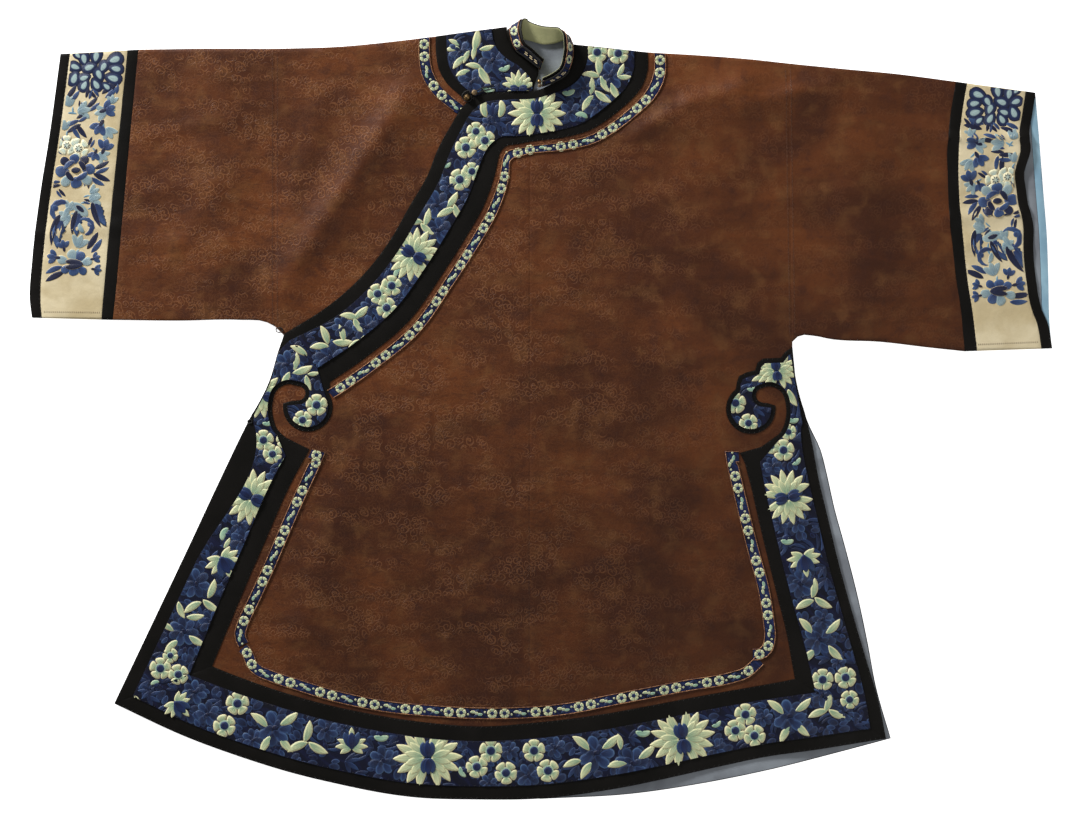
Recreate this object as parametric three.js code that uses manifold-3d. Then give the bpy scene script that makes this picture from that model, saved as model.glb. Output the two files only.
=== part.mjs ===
// A lady's informal robe of brown silk, laid flat with its arms spread.
// Millimetres. +X runs along the right-hand sleeve, +Y to the neck, +Z up from the surface it lies on.
import * as THREE from 'three';
import { mergeVertices } from 'three/addons/utils/BufferGeometryUtils.js';
import Module from 'manifold-3d';

const wasm = await Module();
wasm.setup();

// Cloth and seams
const CLOTH = 1.0;
const GAP = 0.3;
const PLY = CLOTH + GAP;
const LATTICE = 38;
const FRONT_BASE = 2 * PLY;
const FOLD_WALL = 1.2;
const SHOULDER_INSET = 1.6;
const LINING_INSET = 1.2;
const BACK_BORDER = 19;

// Where the hidden front lies under the outer front, and how softly the outer front comes down past it
const UNDER_RIGHT = 60;
const UNDER_BOTTOM = -70;
const RAMP_START = 36;
const RAMP = 70;

// Large soft folds: a ridge from one point to another
const FOLDS = [
  { fromX: -185, fromY: 420, toX: -345, toY: 175, height: 6.0, halfWidth: 34 },
  { fromX: 136, fromY: 379, toX: 274, toY: 440, height: 5.0, halfWidth: 28 },
  { fromX: 274, fromY: 412, toX: 395, toY: 441, height: 4.5, halfWidth: 28 },
  { fromX: 200, fromY: 330, toX: 225, toY: -40, height: 3.0, halfWidth: 60 },
  { fromX: -40, fromY: 300, toX: -30, toY: -150, height: 2.2, halfWidth: 60 },
  { fromX: -440, fromY: 450, toX: -455, toY: 160, height: 3.0, halfWidth: 45 },
  { fromX: 440, fromY: 400, toX: 450, toY: 130, height: 3.0, halfWidth: 45 },
  { fromX: 495, fromY: 368, toX: 560, toY: 378, height: 3.5, halfWidth: 28 },
  { fromX: 560, fromY: 335, toX: 690, toY: 345, height: 5.0, halfWidth: 30 },
  { fromX: -300, fromY: -200, toX: -335, toY: -480, height: 3.5, halfWidth: 50 },
  { fromX: -70, fromY: -230, toX: -75, toY: -520, height: 3.0, halfWidth: 50 },
  { fromX: 120, fromY: -160, toX: 150, toY: -510, height: 3.5, halfWidth: 50 },
  { fromX: 310, fromY: -130, toX: 375, toY: -450, height: 3.5, halfWidth: 45 },
];

// Shoulder fold lines, from the neck out
const SHOULDER_LEFT = [
  { x: -47, y: 523 }, { x: -96, y: 516 }, { x: -144, y: 510 }, { x: -193, y: 504 },
  { x: -275, y: 496 }, { x: -364, y: 493 },
];
const SHOULDER_RIGHT = [
  { x: 47, y: 499 }, { x: 64, y: 496 }, { x: 136, y: 489 }, { x: 218, y: 484 },
  { x: 293, y: 478 }, { x: 338, y: 473 },
];
const SLEEVE_TOP_LEFT = [{ x: -364, y: 493 }, { x: -474, y: 493 }, { x: -551, y: 492 }];
const SLEEVE_TOP_RIGHT = [{ x: 338, y: 473 }, { x: 396, y: 467 }, { x: 492, y: 458 }, { x: 568, y: 448 }];
const SLEEVE_UNDER_LEFT = [
  { x: -586, y: 122 }, { x: -495, y: 121 }, { x: -412, y: 122 }, { x: -376, y: 119 }, { x: -364, y: 113 },
];
const SLEEVE_UNDER_RIGHT = [
  { x: 580, y: 79 }, { x: 533, y: 84 }, { x: 464, y: 92 }, { x: 395, y: 96 },
  { x: 375, y: 100 }, { x: 353, y: 100 }, { x: 344, y: 92 },
];
const SEAM_LEFT = [{ x: -364, y: 493 }, { x: -364, y: 113 }];

// Sides and hem of the back, which shows past the front on the right
const BACK_SIDE_RIGHT = [
  { x: 344, y: 92 }, { x: 344, y: 77 }, { x: 348, y: 45 }, { x: 356, y: 12 }, { x: 365, y: -17 },
  { x: 383, y: -56 }, { x: 392, y: -91 }, { x: 402, y: -136 }, { x: 415, y: -183 }, { x: 434, y: -257 },
  { x: 447, y: -318 }, { x: 459, y: -381 }, { x: 479, y: -451 },
];
const BACK_HEM_RIGHT = [
  { x: 408, y: -470 }, { x: 313, y: -494 }, { x: 219, y: -513 }, { x: 124, y: -527 }, { x: -1, y: -534 },
];
const SIDE_LEFT_TOP = [
  { x: -364, y: 113 }, { x: -353, y: 101 }, { x: -359, y: 81 }, { x: -371, y: 40 }, { x: -388, y: 5 },
];
const BACK_NECK = [
  { x: -47, y: 523 }, { x: -40, y: 511 }, { x: -27, y: 504 }, { x: -14, y: 500 }, { x: 3, y: 496 },
  { x: 15, y: 496 }, { x: 29, y: 501 }, { x: 38, y: 505 }, { x: 47, y: 499 },
];

// Neck and centre edge of the hidden front, then its plain hidden edge
const UNDER_EDGE = [
  { x: -47, y: 523 }, { x: -45, y: 508 }, { x: -41, y: 499 }, { x: -32, y: 488 }, { x: -15, y: 477 },
  { x: 0, y: 466 }, { x: -7, y: 451 }, { x: -11, y: 434 }, { x: -4, y: 405 }, { x: 30, y: 330 },
  { x: UNDER_RIGHT - 8, y: 180 }, { x: UNDER_RIGHT - 4, y: UNDER_BOTTOM },
];

// Bands: each row is one section across a band, from the finished edge to the inner edge of the black,
// with the shares of that width between which the embroidered blue strip lies
const NECK_LAPEL = [
  { edgeX: 47, edgeY: 499, innerX: 146, innerY: 488, stripFrom: 0.17, stripTo: 0.82 },
  { edgeX: 47, edgeY: 485, innerX: 146, innerY: 463, stripFrom: 0.17, stripTo: 0.82 },
  { edgeX: 44, edgeY: 470, innerX: 135, innerY: 436, stripFrom: 0.17, stripTo: 0.82 },
  { edgeX: 37, edgeY: 456, innerX: 115, innerY: 415, stripFrom: 0.17, stripTo: 0.82 },
  { edgeX: 29, edgeY: 449, innerX: 90, innerY: 395, stripFrom: 0.16, stripTo: 0.82 },
  { edgeX: 21, edgeY: 445, innerX: 64, innerY: 380, stripFrom: 0.15, stripTo: 0.84 },
  { edgeX: 11, edgeY: 441, innerX: 34, innerY: 372, stripFrom: 0.15, stripTo: 0.85 },
  { edgeX: -11, edgeY: 435, innerX: -12, innerY: 366, stripFrom: 0.15, stripTo: 0.87 },
  { edgeX: -49, edgeY: 434, innerX: -33, innerY: 362, stripFrom: 0.15, stripTo: 0.85 },
  { edgeX: -88, edgeY: 429, innerX: -48, innerY: 359, stripFrom: 0.16, stripTo: 0.82 },
  { edgeX: -107, edgeY: 414, innerX: -55, innerY: 352, stripFrom: 0.18, stripTo: 0.80 },
  { edgeX: -122, edgeY: 390, innerX: -58, innerY: 343, stripFrom: 0.19, stripTo: 0.75 },
  { edgeX: -139, edgeY: 360, innerX: -63, innerY: 320, stripFrom: 0.20, stripTo: 0.72 },
  { edgeX: -156, edgeY: 318, innerX: -78, innerY: 278, stripFrom: 0.20, stripTo: 0.72 },
  { edgeX: -179, edgeY: 279, innerX: -100, innerY: 239, stripFrom: 0.20, stripTo: 0.72 },
  { edgeX: -207, edgeY: 230, innerX: -137, innerY: 181, stripFrom: 0.20, stripTo: 0.72 },
  { edgeX: -241, edgeY: 186, innerX: -178, innerY: 123, stripFrom: 0.20, stripTo: 0.72 },
  { edgeX: -295, edgeY: 138, innerX: -240, innerY: 70, stripFrom: 0.20, stripTo: 0.72 },
  { edgeX: -351, edgeY: 103, innerX: -288, innerY: 37, stripFrom: 0.13, stripTo: 0.72 },
];
const NECK_LEFT = [
  { edgeX: -47, edgeY: 523, innerX: -144, innerY: 510, stripFrom: 0.21, stripTo: 0.85 },
  { edgeX: -45, edgeY: 508, innerX: -144, innerY: 490, stripFrom: 0.20, stripTo: 0.85 },
  { edgeX: -41, edgeY: 499, innerX: -141, innerY: 468, stripFrom: 0.19, stripTo: 0.86 },
  { edgeX: -32, edgeY: 488, innerX: -130, innerY: 447, stripFrom: 0.17, stripTo: 0.87 },
  { edgeX: -15, edgeY: 477, innerX: -112, innerY: 430, stripFrom: 0.16, stripTo: 0.88 },
  { edgeX: -3, edgeY: 462, innerX: -85, innerY: 410, stripFrom: 0.15, stripTo: 0.88 },
];
const SIDE_LEFT = [
  { edgeX: -351, edgeY: 103, innerX: -288, innerY: 37, stripFrom: 0.13, stripTo: 0.72 },
  { edgeX: -359, edgeY: 81, innerX: -291, innerY: 22, stripFrom: 0.02, stripTo: 0.80 },
  { edgeX: -371, edgeY: 40, innerX: -296, innerY: 0, stripFrom: 0.02, stripTo: 0.85 },
  { edgeX: -388, edgeY: 5, innerX: -304, innerY: -30, stripFrom: 0.02, stripTo: 0.85 },
  { edgeX: -397, edgeY: -10, innerX: -309, innerY: -44, stripFrom: 0.04, stripTo: 0.75 },
  { edgeX: -406, edgeY: -28, innerX: -320, innerY: -62, stripFrom: 0.19, stripTo: 0.74 },
  { edgeX: -496, edgeY: -218, innerX: -387, innerY: -203, stripFrom: 0.19, stripTo: 0.74 },
  { edgeX: -584, edgeY: -403, innerX: -450, innerY: -352, stripFrom: 0.19, stripTo: 0.77 },
];
const HEM = [
  { edgeX: -584, edgeY: -403, innerX: -450, innerY: -352, stripFrom: 0.19, stripTo: 0.77 },
  { edgeX: -492, edgeY: -446, innerX: -412, innerY: -367, stripFrom: 0.18, stripTo: 0.79 },
  { edgeX: -408, edgeY: -477, innerX: -360, innerY: -385, stripFrom: 0.18, stripTo: 0.80 },
  { edgeX: -291, edgeY: -510, innerX: -268, innerY: -410, stripFrom: 0.18, stripTo: 0.80 },
  { edgeX: -166, edgeY: -532, innerX: -155, innerY: -429, stripFrom: 0.18, stripTo: 0.80 },
  { edgeX: -84, edgeY: -534, innerX: -84, innerY: -434, stripFrom: 0.18, stripTo: 0.80 },
  { edgeX: -1, edgeY: -533, innerX: -7, innerY: -429, stripFrom: 0.18, stripTo: 0.80 },
  { edgeX: 93, edgeY: -521, innerX: 81, innerY: -418, stripFrom: 0.18, stripTo: 0.80 },
  { edgeX: 168, edgeY: -506, innerX: 152, innerY: -405, stripFrom: 0.18, stripTo: 0.80 },
  { edgeX: 250, edgeY: -488, innerX: 233, innerY: -390, stripFrom: 0.18, stripTo: 0.80 },
  { edgeX: 313, edgeY: -475, innerX: 290, innerY: -380, stripFrom: 0.18, stripTo: 0.80 },
  { edgeX: 376, edgeY: -466, innerX: 323, innerY: -374, stripFrom: 0.18, stripTo: 0.79 },
  { edgeX: 472, edgeY: -451, innerX: 347, innerY: -369, stripFrom: 0.17, stripTo: 0.78 },
];
const SIDE_RIGHT = [
  { edgeX: 472, edgeY: -451, innerX: 347, innerY: -369, stripFrom: 0.17, stripTo: 0.78 },
  { edgeX: 462, edgeY: -400, innerX: 342, innerY: -341, stripFrom: 0.16, stripTo: 0.79 },
  { edgeX: 445, edgeY: -343, innerX: 336, innerY: -308, stripFrom: 0.15, stripTo: 0.80 },
  { edgeX: 423, edgeY: -268, innerX: 324, innerY: -260, stripFrom: 0.15, stripTo: 0.81 },
  { edgeX: 406, edgeY: -206, innerX: 314, innerY: -220, stripFrom: 0.15, stripTo: 0.81 },
  { edgeX: 394, edgeY: -155, innerX: 303, innerY: -175, stripFrom: 0.15, stripTo: 0.81 },
  { edgeX: 380, edgeY: -96, innerX: 289, innerY: -114, stripFrom: 0.15, stripTo: 0.81 },
  { edgeX: 369, edgeY: -38, innerX: 277, innerY: -52, stripFrom: 0.14, stripTo: 0.80 },
  { edgeX: 361, edgeY: -5, innerX: 283, innerY: -24, stripFrom: 0.08, stripTo: 0.90 },
];
const RIBBON_FROM = 1.08;
const RIBBON_TO = 1.24;

// Cloud heads at the tops of the two side bands: a round lobe and a brown channel that curls about it.
// The channel's rows give its two walls from the curled tip to the mouth, +x towards the side edge.
const LOBE = { radius: 34, outline: 6, leftX: -319, leftY: 3, rightX: 287, rightY: 0 };
const CHANNEL = [
  { innerX: 9, innerY: 9, outerX: 10, outerY: 28 },
  { innerX: 20, innerY: 8, outerX: 27, outerY: 31 },
  { innerX: 31, innerY: 8, outerX: 42, outerY: 23 },
  { innerX: 34, innerY: -1, outerX: 48, outerY: 6 },
  { innerX: 32, innerY: -12, outerX: 48, outerY: -12 },
  { innerX: 25, innerY: -23, outerX: 42, outerY: -30 },
  { innerX: 12, innerY: -32, outerX: 30, outerY: -42 },
  { innerX: -6, innerY: -36, outerX: 15, outerY: -52 },
  { innerX: -30, innerY: -38, outerX: -12, outerY: -60 },
];
// Stepped top of the right band, from the side edge down to the lobe
const CLOUD_TOP_RIGHT = [
  { x: 369, y: -38 }, { x: 361, y: -5 }, { x: 353, y: 20 }, { x: 348, y: 45 }, { x: 344, y: 85 },
  { x: 334, y: 78 }, { x: 328, y: 70 }, { x: 304, y: 69 }, { x: 296, y: 63 }, { x: 293, y: 53 },
  { x: 281, y: 50 }, { x: 271, y: 45 }, { x: 268, y: 37 }, { x: 269, y: 20 }, { x: 287, y: -8 },
  { x: 300, y: -44 },
];

// Narrow flower ribbons, as centre lines
const RIBBON_WIDTH = 16;
const RIBBON_SIDE_LEFT = [
  { x: -304, y: -63 }, { x: -337, y: -135 }, { x: -375, y: -223 }, { x: -395, y: -266 },
  { x: -408, y: -294 }, { x: -412, y: -310 }, { x: -407, y: -322 },
];
const RIBBON_HEM = [
  { x: -406, y: -336 }, { x: -404, y: -347 }, { x: -396, y: -356 }, { x: -378, y: -363 },
  { x: -333, y: -377 }, { x: -284, y: -392 }, { x: -212, y: -407 }, { x: -149, y: -413 },
  { x: -84, y: -416 }, { x: 29, y: -411 }, { x: 107, y: -396 }, { x: 195, y: -379 },
  { x: 262, y: -367 }, { x: 284, y: -360 }, { x: 296, y: -350 },
];
const RIBBON_SIDE_RIGHT = [
  { x: 301, y: -336 }, { x: 309, y: -328 }, { x: 313, y: -312 }, { x: 311, y: -288 },
  { x: 303, y: -240 }, { x: 292, y: -200 }, { x: 281, y: -157 }, { x: 267, y: -98 }, { x: 259, y: -64 },
];

// Cuffs, rows from the open end to the sleeve
const CUFF_EDGE_SHARE = 0.125;
const CUFF_BAND_SHARE = 0.86;
const CUFF_LEFT = [
  { edgeX: -658, edgeY: 486, innerX: -551, innerY: 492 },
  { edgeX: -673, edgeY: 375, innerX: -562, innerY: 378 },
  { edgeX: -685, edgeY: 300, innerX: -569, innerY: 303 },
  { edgeX: -697, edgeY: 201, innerX: -578, innerY: 203 },
  { edgeX: -700, edgeY: 149, innerX: -583, innerY: 150 },
  { edgeX: -697, edgeY: 125, innerX: -586, innerY: 122 },
];
const CUFF_RIGHT = [
  { edgeX: 677, edgeY: 433, innerX: 568, innerY: 448 },
  { edgeX: 673, edgeY: 405, innerX: 561, innerY: 408 },
  { edgeX: 668, edgeY: 375, innerX: 557, innerY: 376 },
  { edgeX: 670, edgeY: 355, innerX: 555, innerY: 350 },
  { edgeX: 661, edgeY: 322, innerX: 556, innerY: 322 },
  { edgeX: 664, edgeY: 300, innerX: 557, innerY: 300 },
  { edgeX: 667, edgeY: 280, innerX: 558, innerY: 278 },
  { edgeX: 674, edgeY: 254, innerX: 560, innerY: 252 },
  { edgeX: 674, edgeY: 217, innerX: 564, innerY: 215 },
  { edgeX: 678, edgeY: 175, innerX: 569, innerY: 172 },
  { edgeX: 685, edgeY: 138, innerX: 575, innerY: 134 },
  { edgeX: 694, edgeY: 117, innerX: 577, innerY: 110 },
  { edgeX: 700, edgeY: 83, innerX: 580, innerY: 79 },
];
const CUFF_RIGHT_BACK = [
  { edgeX: 677, edgeY: 433, innerX: 568, innerY: 448 },
  { edgeX: 682, edgeY: 376, innerX: 557, innerY: 376 },
  { edgeX: 688, edgeY: 300, innerX: 557, innerY: 300 },
  { edgeX: 693, edgeY: 238, innerX: 562, innerY: 238 },
  { edgeX: 695, edgeY: 182, innerX: 568, innerY: 180 },
  { edgeX: 697, edgeY: 112, innerX: 577, innerY: 110 },
  { edgeX: 700, edgeY: 83, innerX: 580, innerY: 79 },
];
const CUFF_FACING_SHARE = 0.13;

// Standing collar: its foot round the neck from the left end to the right end, and its top edge
const COLLAR = [
  { footX: -1, footY: 464, footZ: 7.0, topX: 4, topY: 475, topZ: 27 },
  { footX: -22, footY: 479, footZ: 6.8, topX: -11, topY: 489, topZ: 27 },
  { footX: -38, footY: 492, footZ: 6.6, topX: -22, topY: 498, topZ: 26 },
  { footX: -44, footY: 506, footZ: 6.4, topX: -25, topY: 507, topZ: 24 },
  { footX: -46, footY: 517, footZ: 6.2, topX: -27, topY: 522, topZ: 20 },
  { footX: -41, footY: 521, footZ: 6.0, topX: -25, topY: 531, topZ: 17 },
  { footX: -35, footY: 515, footZ: 5.8, topX: -20, topY: 532, topZ: 15 },
  { footX: -26, footY: 507, footZ: 5.6, topX: -17, topY: 529, topZ: 13 },
  { footX: -12, footY: 503, footZ: 5.4, topX: -8, topY: 525, topZ: 13 },
  { footX: 3, footY: 499, footZ: 5.4, topX: 4, topY: 522, topZ: 13 },
  { footX: 17, footY: 500, footZ: 5.6, topX: 17, topY: 521, topZ: 13 },
  { footX: 31, footY: 504, footZ: 6.2, topX: 25, topY: 519, topZ: 15 },
  { footX: 40, footY: 505, footZ: 7.0, topX: 30, topY: 512, topZ: 20 },
  { footX: 44, footY: 496, footZ: 7.4, topX: 32, topY: 498, topZ: 24 },
  { footX: 44, footY: 474, footZ: 7.6, topX: 30, topY: 478, topZ: 26 },
  { footX: 36, footY: 458, footZ: 7.6, topX: 26, topY: 465, topZ: 27 },
  { footX: 20, footY: 448, footZ: 7.6, topX: 17, topY: 457, topZ: 27 },
  { footX: 1, footY: 441, footZ: 7.6, topX: 2, topY: 450, topZ: 27 },
];
const COLLAR_STATIONS = 40;
const COLLAR_RIBBON_FROM = 0.26;
const COLLAR_RIBBON_TO = 0.86;

// Fastenings
const BALLS = [
  { name: 'button_neck', x: -101, y: 426, radius: 4.6, plies: 2 },
  { name: 'knot_neck', x: -91, y: 432.5, radius: 3.8, plies: 3 },
];
const COLLAR_KNOBS = [
  { name: 'knob_collar_upper', x: -2, y: 446.3, z: 22, radius: 3.2 },
  { name: 'knob_collar_lower', x: -1.8, y: 441.9, z: 13, radius: 3.0 },
];
const LOOPS = [
  { name: 'loop_underarm', x: -358, y: 108, radiusX: 4.6, radiusY: 3.3, cord: 0.8, lift: PLY },
  { name: 'loop_side', x: -398, y: -17, radiusX: 3.0, radiusY: 2.4, cord: 0.7, lift: 3 * PLY },
];

// Cloth colours
const COLOURS = {
  silk: { colour: '#53321f', roughness: 0.55 },
  black: { colour: '#17151a', roughness: 0.5 },
  blue: { colour: '#1d2a55', roughness: 0.55 },
  ribbon: { colour: '#22305c', roughness: 0.6 },
  ivory: { colour: '#c0ab7c', roughness: 0.5 },
  lining: { colour: '#747676', roughness: 0.6 },
  facing: { colour: '#869c9c', roughness: 0.6 },
  collar: { colour: '#807e5a', roughness: 0.6 },
  gilt: { colour: '#b08a45', roughness: 0.35 },
};

// Heights of the cloth

function distanceToRidge(x, y, fold) {
  const dx = fold.toX - fold.fromX;
  const dy = fold.toY - fold.fromY;
  const along = ((x - fold.fromX) * dx + (y - fold.fromY) * dy) / (dx * dx + dy * dy);
  const share = Math.min(1, Math.max(0, along));
  return Math.hypot(x - fold.fromX - share * dx, y - fold.fromY - share * dy);
}

function foldHeight(x, y) {
  let height = 0;
  for (const fold of FOLDS) {
    const ratio = distanceToRidge(x, y, fold) / fold.halfWidth;
    height += fold.height * Math.exp(-ratio * ratio);
  }
  return height;
}

function easeDown(distance) {
  const share = Math.min(1, Math.max(0, distance / RAMP));
  return 1 - share * share * (3 - 2 * share);
}

function underHeight(x, y) {
  return FRONT_BASE + foldHeight(x, y);
}

function frontHeight(x, y) {
  const beside = easeDown(x - UNDER_RIGHT - RAMP_START);
  const below = easeDown(UNDER_BOTTOM - RAMP_START - y);
  return underHeight(x, y) + PLY * beside * below;
}

function raised(surface, lift) {
  return (x, y) => surface(x, y) + lift;
}

// Outlines

function bandPoint(row, share) {
  return {
    x: row.edgeX + (row.innerX - row.edgeX) * share,
    y: row.edgeY + (row.innerY - row.edgeY) * share,
  };
}

function bandLine(rows, share) {
  return rows.map((row) => bandPoint(row, share));
}

function bandOutline(rows, from, to) {
  return [...bandLine(rows, from), ...bandLine(rows, to).reverse()];
}

function stripOutline(rows) {
  const outer = rows.map((row) => bandPoint(row, row.stripFrom));
  const inner = rows.map((row) => bandPoint(row, row.stripTo));
  return [...outer, ...inner.reverse()];
}

function signedArea(points) {
  let area = 0;
  points.forEach((point, i) => {
    const next = points[(i + 1) % points.length];
    area += (point.x * next.y - next.x * point.y) / 2;
  });
  return area;
}

function offsetPoints(points, distance, closed) {
  const count = points.length;
  return points.map((point, i) => {
    const before = closed || i > 0 ? points[(i - 1 + count) % count] : null;
    const after = closed || i < count - 1 ? points[(i + 1) % count] : null;
    const into = before ? Math.atan2(point.y - before.y, point.x - before.x) : null;
    const out = after ? Math.atan2(after.y - point.y, after.x - point.x) : into;
    const start = into === null ? out : into;
    let turn = out - start;
    turn = Math.atan2(Math.sin(turn), Math.cos(turn));
    const normal = start + turn / 2 + Math.PI / 2;
    const reach = distance / Math.max(0.45, Math.cos(turn / 2));
    return { x: point.x + Math.cos(normal) * reach, y: point.y + Math.sin(normal) * reach };
  });
}

function inset(points, distance) {
  return offsetPoints(points, signedArea(points) > 0 ? distance : -distance, true);
}

function lineStrip(points, from, to) {
  return [...offsetPoints(points, from, false), ...offsetPoints(points, to, false).reverse()];
}

function circle(x, y, radius) {
  return new THREE.Path().absarc(x, y, radius, 0, 2 * Math.PI).getSpacedPoints(26).slice(0, -1);
}

function mirroredChannel(centreX, centreY, side) {
  const inner = CHANNEL.map((row) => ({ x: centreX + side * row.innerX, y: centreY + row.innerY }));
  const outer = CHANNEL.map((row) => ({ x: centreX + side * row.outerX, y: centreY + row.outerY }));
  return [...inner, ...outer.reverse()];
}

// Solids

function toManifold(positions, index) {
  const mesh = new wasm.Mesh({
    numProp: 3,
    vertProperties: new Float32Array(positions),
    triVerts: new Uint32Array(index),
  });
  return new wasm.Manifold(mesh);
}

function extruded(points, trim, bottom, height) {
  const outline = inset(points, trim);
  const shape = new THREE.Shape(outline.map((point) => new THREE.Vector2(point.x, point.y)));
  const geometry = new THREE.ExtrudeGeometry(shape, { depth: height, bevelEnabled: false, steps: 1 });
  geometry.translate(0, 0, bottom);
  geometry.deleteAttribute('normal');
  geometry.deleteAttribute('uv');
  const merged = mergeVertices(geometry, 1e-4);
  return toManifold(merged.getAttribute('position').array, merged.index.array);
}

function prism(points, trim = GAP / 2) {
  return extruded(points, trim, -20, 90);
}

function latticeSlab(low, high, points) {
  const xs = points.map((point) => point.x);
  const ys = points.map((point) => point.y);
  const column = (x) => Math.floor((x + 3.7) / LATTICE);
  const row = (y) => Math.floor((y + 5.3) / LATTICE);
  const left = column(Math.min(...xs) - 2);
  const bottom = row(Math.min(...ys) - 2);
  const columns = column(Math.max(...xs) + 2) + 1 - left;
  const rows = row(Math.max(...ys) + 2) + 1 - bottom;
  const plane = new THREE.PlaneGeometry(columns * LATTICE, rows * LATTICE, columns, rows);
  plane.translate((left + columns / 2) * LATTICE - 3.7, (bottom + rows / 2) * LATTICE - 5.3, 0);
  const flat = plane.getAttribute('position');
  const top = [];
  const base = [];
  for (let i = 0; i < flat.count; i++) {
    const x = flat.getX(i);
    const y = flat.getY(i);
    top.push(x, y, high(x, y));
    base.push(x, y, low(x, y));
  }
  const upper = [...plane.index.array];
  const faces = [...upper];
  for (let i = 0; i < upper.length; i += 3) {
    faces.push(upper[i + 2] + flat.count, upper[i + 1] + flat.count, upper[i] + flat.count);
  }
  const rim = [];
  for (let i = 0; i <= columns; i++) rim.push(i);
  for (let i = 1; i <= rows; i++) rim.push(i * (columns + 1) + columns);
  for (let i = columns - 1; i >= 0; i--) rim.push(rows * (columns + 1) + i);
  for (let i = rows - 1; i > 0; i--) rim.push(i * (columns + 1));
  rim.forEach((here, i) => {
    const next = rim[(i + 1) % rim.length];
    faces.push(here, next, next + flat.count, here, next + flat.count, here + flat.count);
  });
  return toManifold([...top, ...base], faces);
}

function sheet(points, surface, lift) {
  return latticeSlab(raised(surface, lift), raised(surface, lift + CLOTH), points).intersect(prism(points));
}

function flatSheet(points, height, trim = GAP / 2) {
  return extruded(points, trim, height, CLOTH);
}

function wall(line, surface, thickness) {
  const points = lineStrip(line, GAP / 2, thickness + GAP / 2);
  return latticeSlab(() => 0, raised(surface, CLOTH), points).intersect(prism(points, 0));
}

// Soft curve through points, as evenly counted stations
function smoothLine(points) {
  return new THREE.CatmullRomCurve3(points, false, 'centripetal').getPoints(COLLAR_STATIONS);
}

// Loft of a thin wall over the collar's rows, between two shares of its height and two offsets outwards
function collarWall(from, to, near, far) {
  const foot = smoothLine(COLLAR.map((row) => new THREE.Vector3(row.footX, row.footY, row.footZ)));
  const top = smoothLine(COLLAR.map((row) => new THREE.Vector3(row.topX, row.topY, row.topZ)));
  const positions = [];
  foot.forEach((point, i) => {
    const before = Math.max(0, i - 1);
    const after = Math.min(foot.length - 1, i + 1);
    const along = foot[after].clone().add(top[after]).sub(foot[before]).sub(top[before]);
    const rise = top[i].clone().sub(point);
    const outward = rise.clone().cross(along).normalize();
    for (const [share, offset] of [[from, near], [to, near], [to, far], [from, far]]) {
      const corner = point.clone().lerp(top[i], share).addScaledVector(outward, offset);
      positions.push(corner.x, corner.y, corner.z);
    }
  });
  const faces = [];
  for (let i = 0; i < foot.length - 1; i++) {
    for (let j = 0; j < 4; j++) {
      const a = 4 * i + j;
      const b = 4 * i + ((j + 1) % 4);
      const outside = j === 2;
      faces.push(a, a + 4, outside ? b : b + 4);
      faces.push(outside ? a + 4 : a, b + 4, b);
    }
  }
  const last = 4 * (foot.length - 1);
  faces.push(0, 1, 2, 0, 2, 3);
  faces.push(last, last + 2, last + 1, last, last + 3, last + 2);
  return toManifold(positions, faces);
}

// Group of named meshes

const group = new THREE.Group();
group.name = 'chinese_silk_robe';
const materials = {};

function materialOf(kind) {
  if (!materials[kind]) {
    const { colour, roughness } = COLOURS[kind];
    const metalness = kind === 'gilt' ? 0.9 : 0;
    materials[kind] = new THREE.MeshStandardMaterial({ color: colour, roughness, metalness });
    materials[kind].name = kind;
  }
  return materials[kind];
}

function addGeometry(name, geometry, kind) {
  const mesh = new THREE.Mesh(geometry, materialOf(kind));
  mesh.name = name;
  group.add(mesh);
}

function addSolid(name, solid, kind) {
  const mesh = solid.getMesh();
  const geometry = new THREE.BufferGeometry();
  geometry.setAttribute('position', new THREE.Float32BufferAttribute(mesh.vertProperties, 3));
  geometry.setIndex([...mesh.triVerts]);
  geometry.computeVertexNormals();
  addGeometry(name, geometry, kind);
}

// Outlines of the large panels

const seamRight = [SHOULDER_RIGHT.at(-1), SLEEVE_UNDER_RIGHT.at(-1)];
const frontEdgeLeft = [...bandLine(NECK_LAPEL, 0), ...bandLine(SIDE_LEFT, 0).slice(1)];
const frontEdgeRight = [...bandLine(SIDE_RIGHT, 0).slice(1), { x: 353, y: 20 }, { x: 348, y: 45 }, { x: 344, y: 77 }];
const frontOutline = [
  ...frontEdgeLeft, ...bandLine(HEM, 0).slice(1), ...frontEdgeRight,
  ...seamRight.slice().reverse(), ...SHOULDER_RIGHT.slice(1, -1).reverse(),
];
const underOutline = [
  ...UNDER_EDGE, { x: -390, y: UNDER_BOTTOM + 4 }, { x: -392, y: -14 }, { x: -384, y: 5 }, { x: -368, y: 40 },
  { x: -357, y: 81 }, { x: -352, y: 101 }, ...SEAM_LEFT.slice().reverse(),
  ...SHOULDER_LEFT.slice(1, -1).reverse(),
];
const backShoulderLeft = offsetPoints(SHOULDER_LEFT, SHOULDER_INSET, false).slice(1, -1);
const backShoulderRight = offsetPoints(SHOULDER_RIGHT, -SHOULDER_INSET, false).slice(1, -1);
const backHemLeft = bandLine(HEM, 0).slice(1, 6);
const backEdge = [
  ...SIDE_LEFT_TOP.slice(-1), { x: -406, y: -28 }, { x: -584, y: -403 }, ...backHemLeft,
  ...BACK_HEM_RIGHT.slice().reverse(), ...BACK_SIDE_RIGHT.slice(2).reverse(),
];
const backOutline = [
  { x: -364, y: 493 - SHOULDER_INSET }, ...SIDE_LEFT_TOP.slice(0, 4), ...backEdge,
  ...BACK_SIDE_RIGHT.slice(0, 2).reverse(), { x: 338, y: 473 - SHOULDER_INSET },
  ...backShoulderRight.slice().reverse(), { x: 46, y: 496 }, ...BACK_NECK.slice(1, -1).reverse(),
  { x: -45, y: 519 }, ...backShoulderLeft,
];

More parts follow.
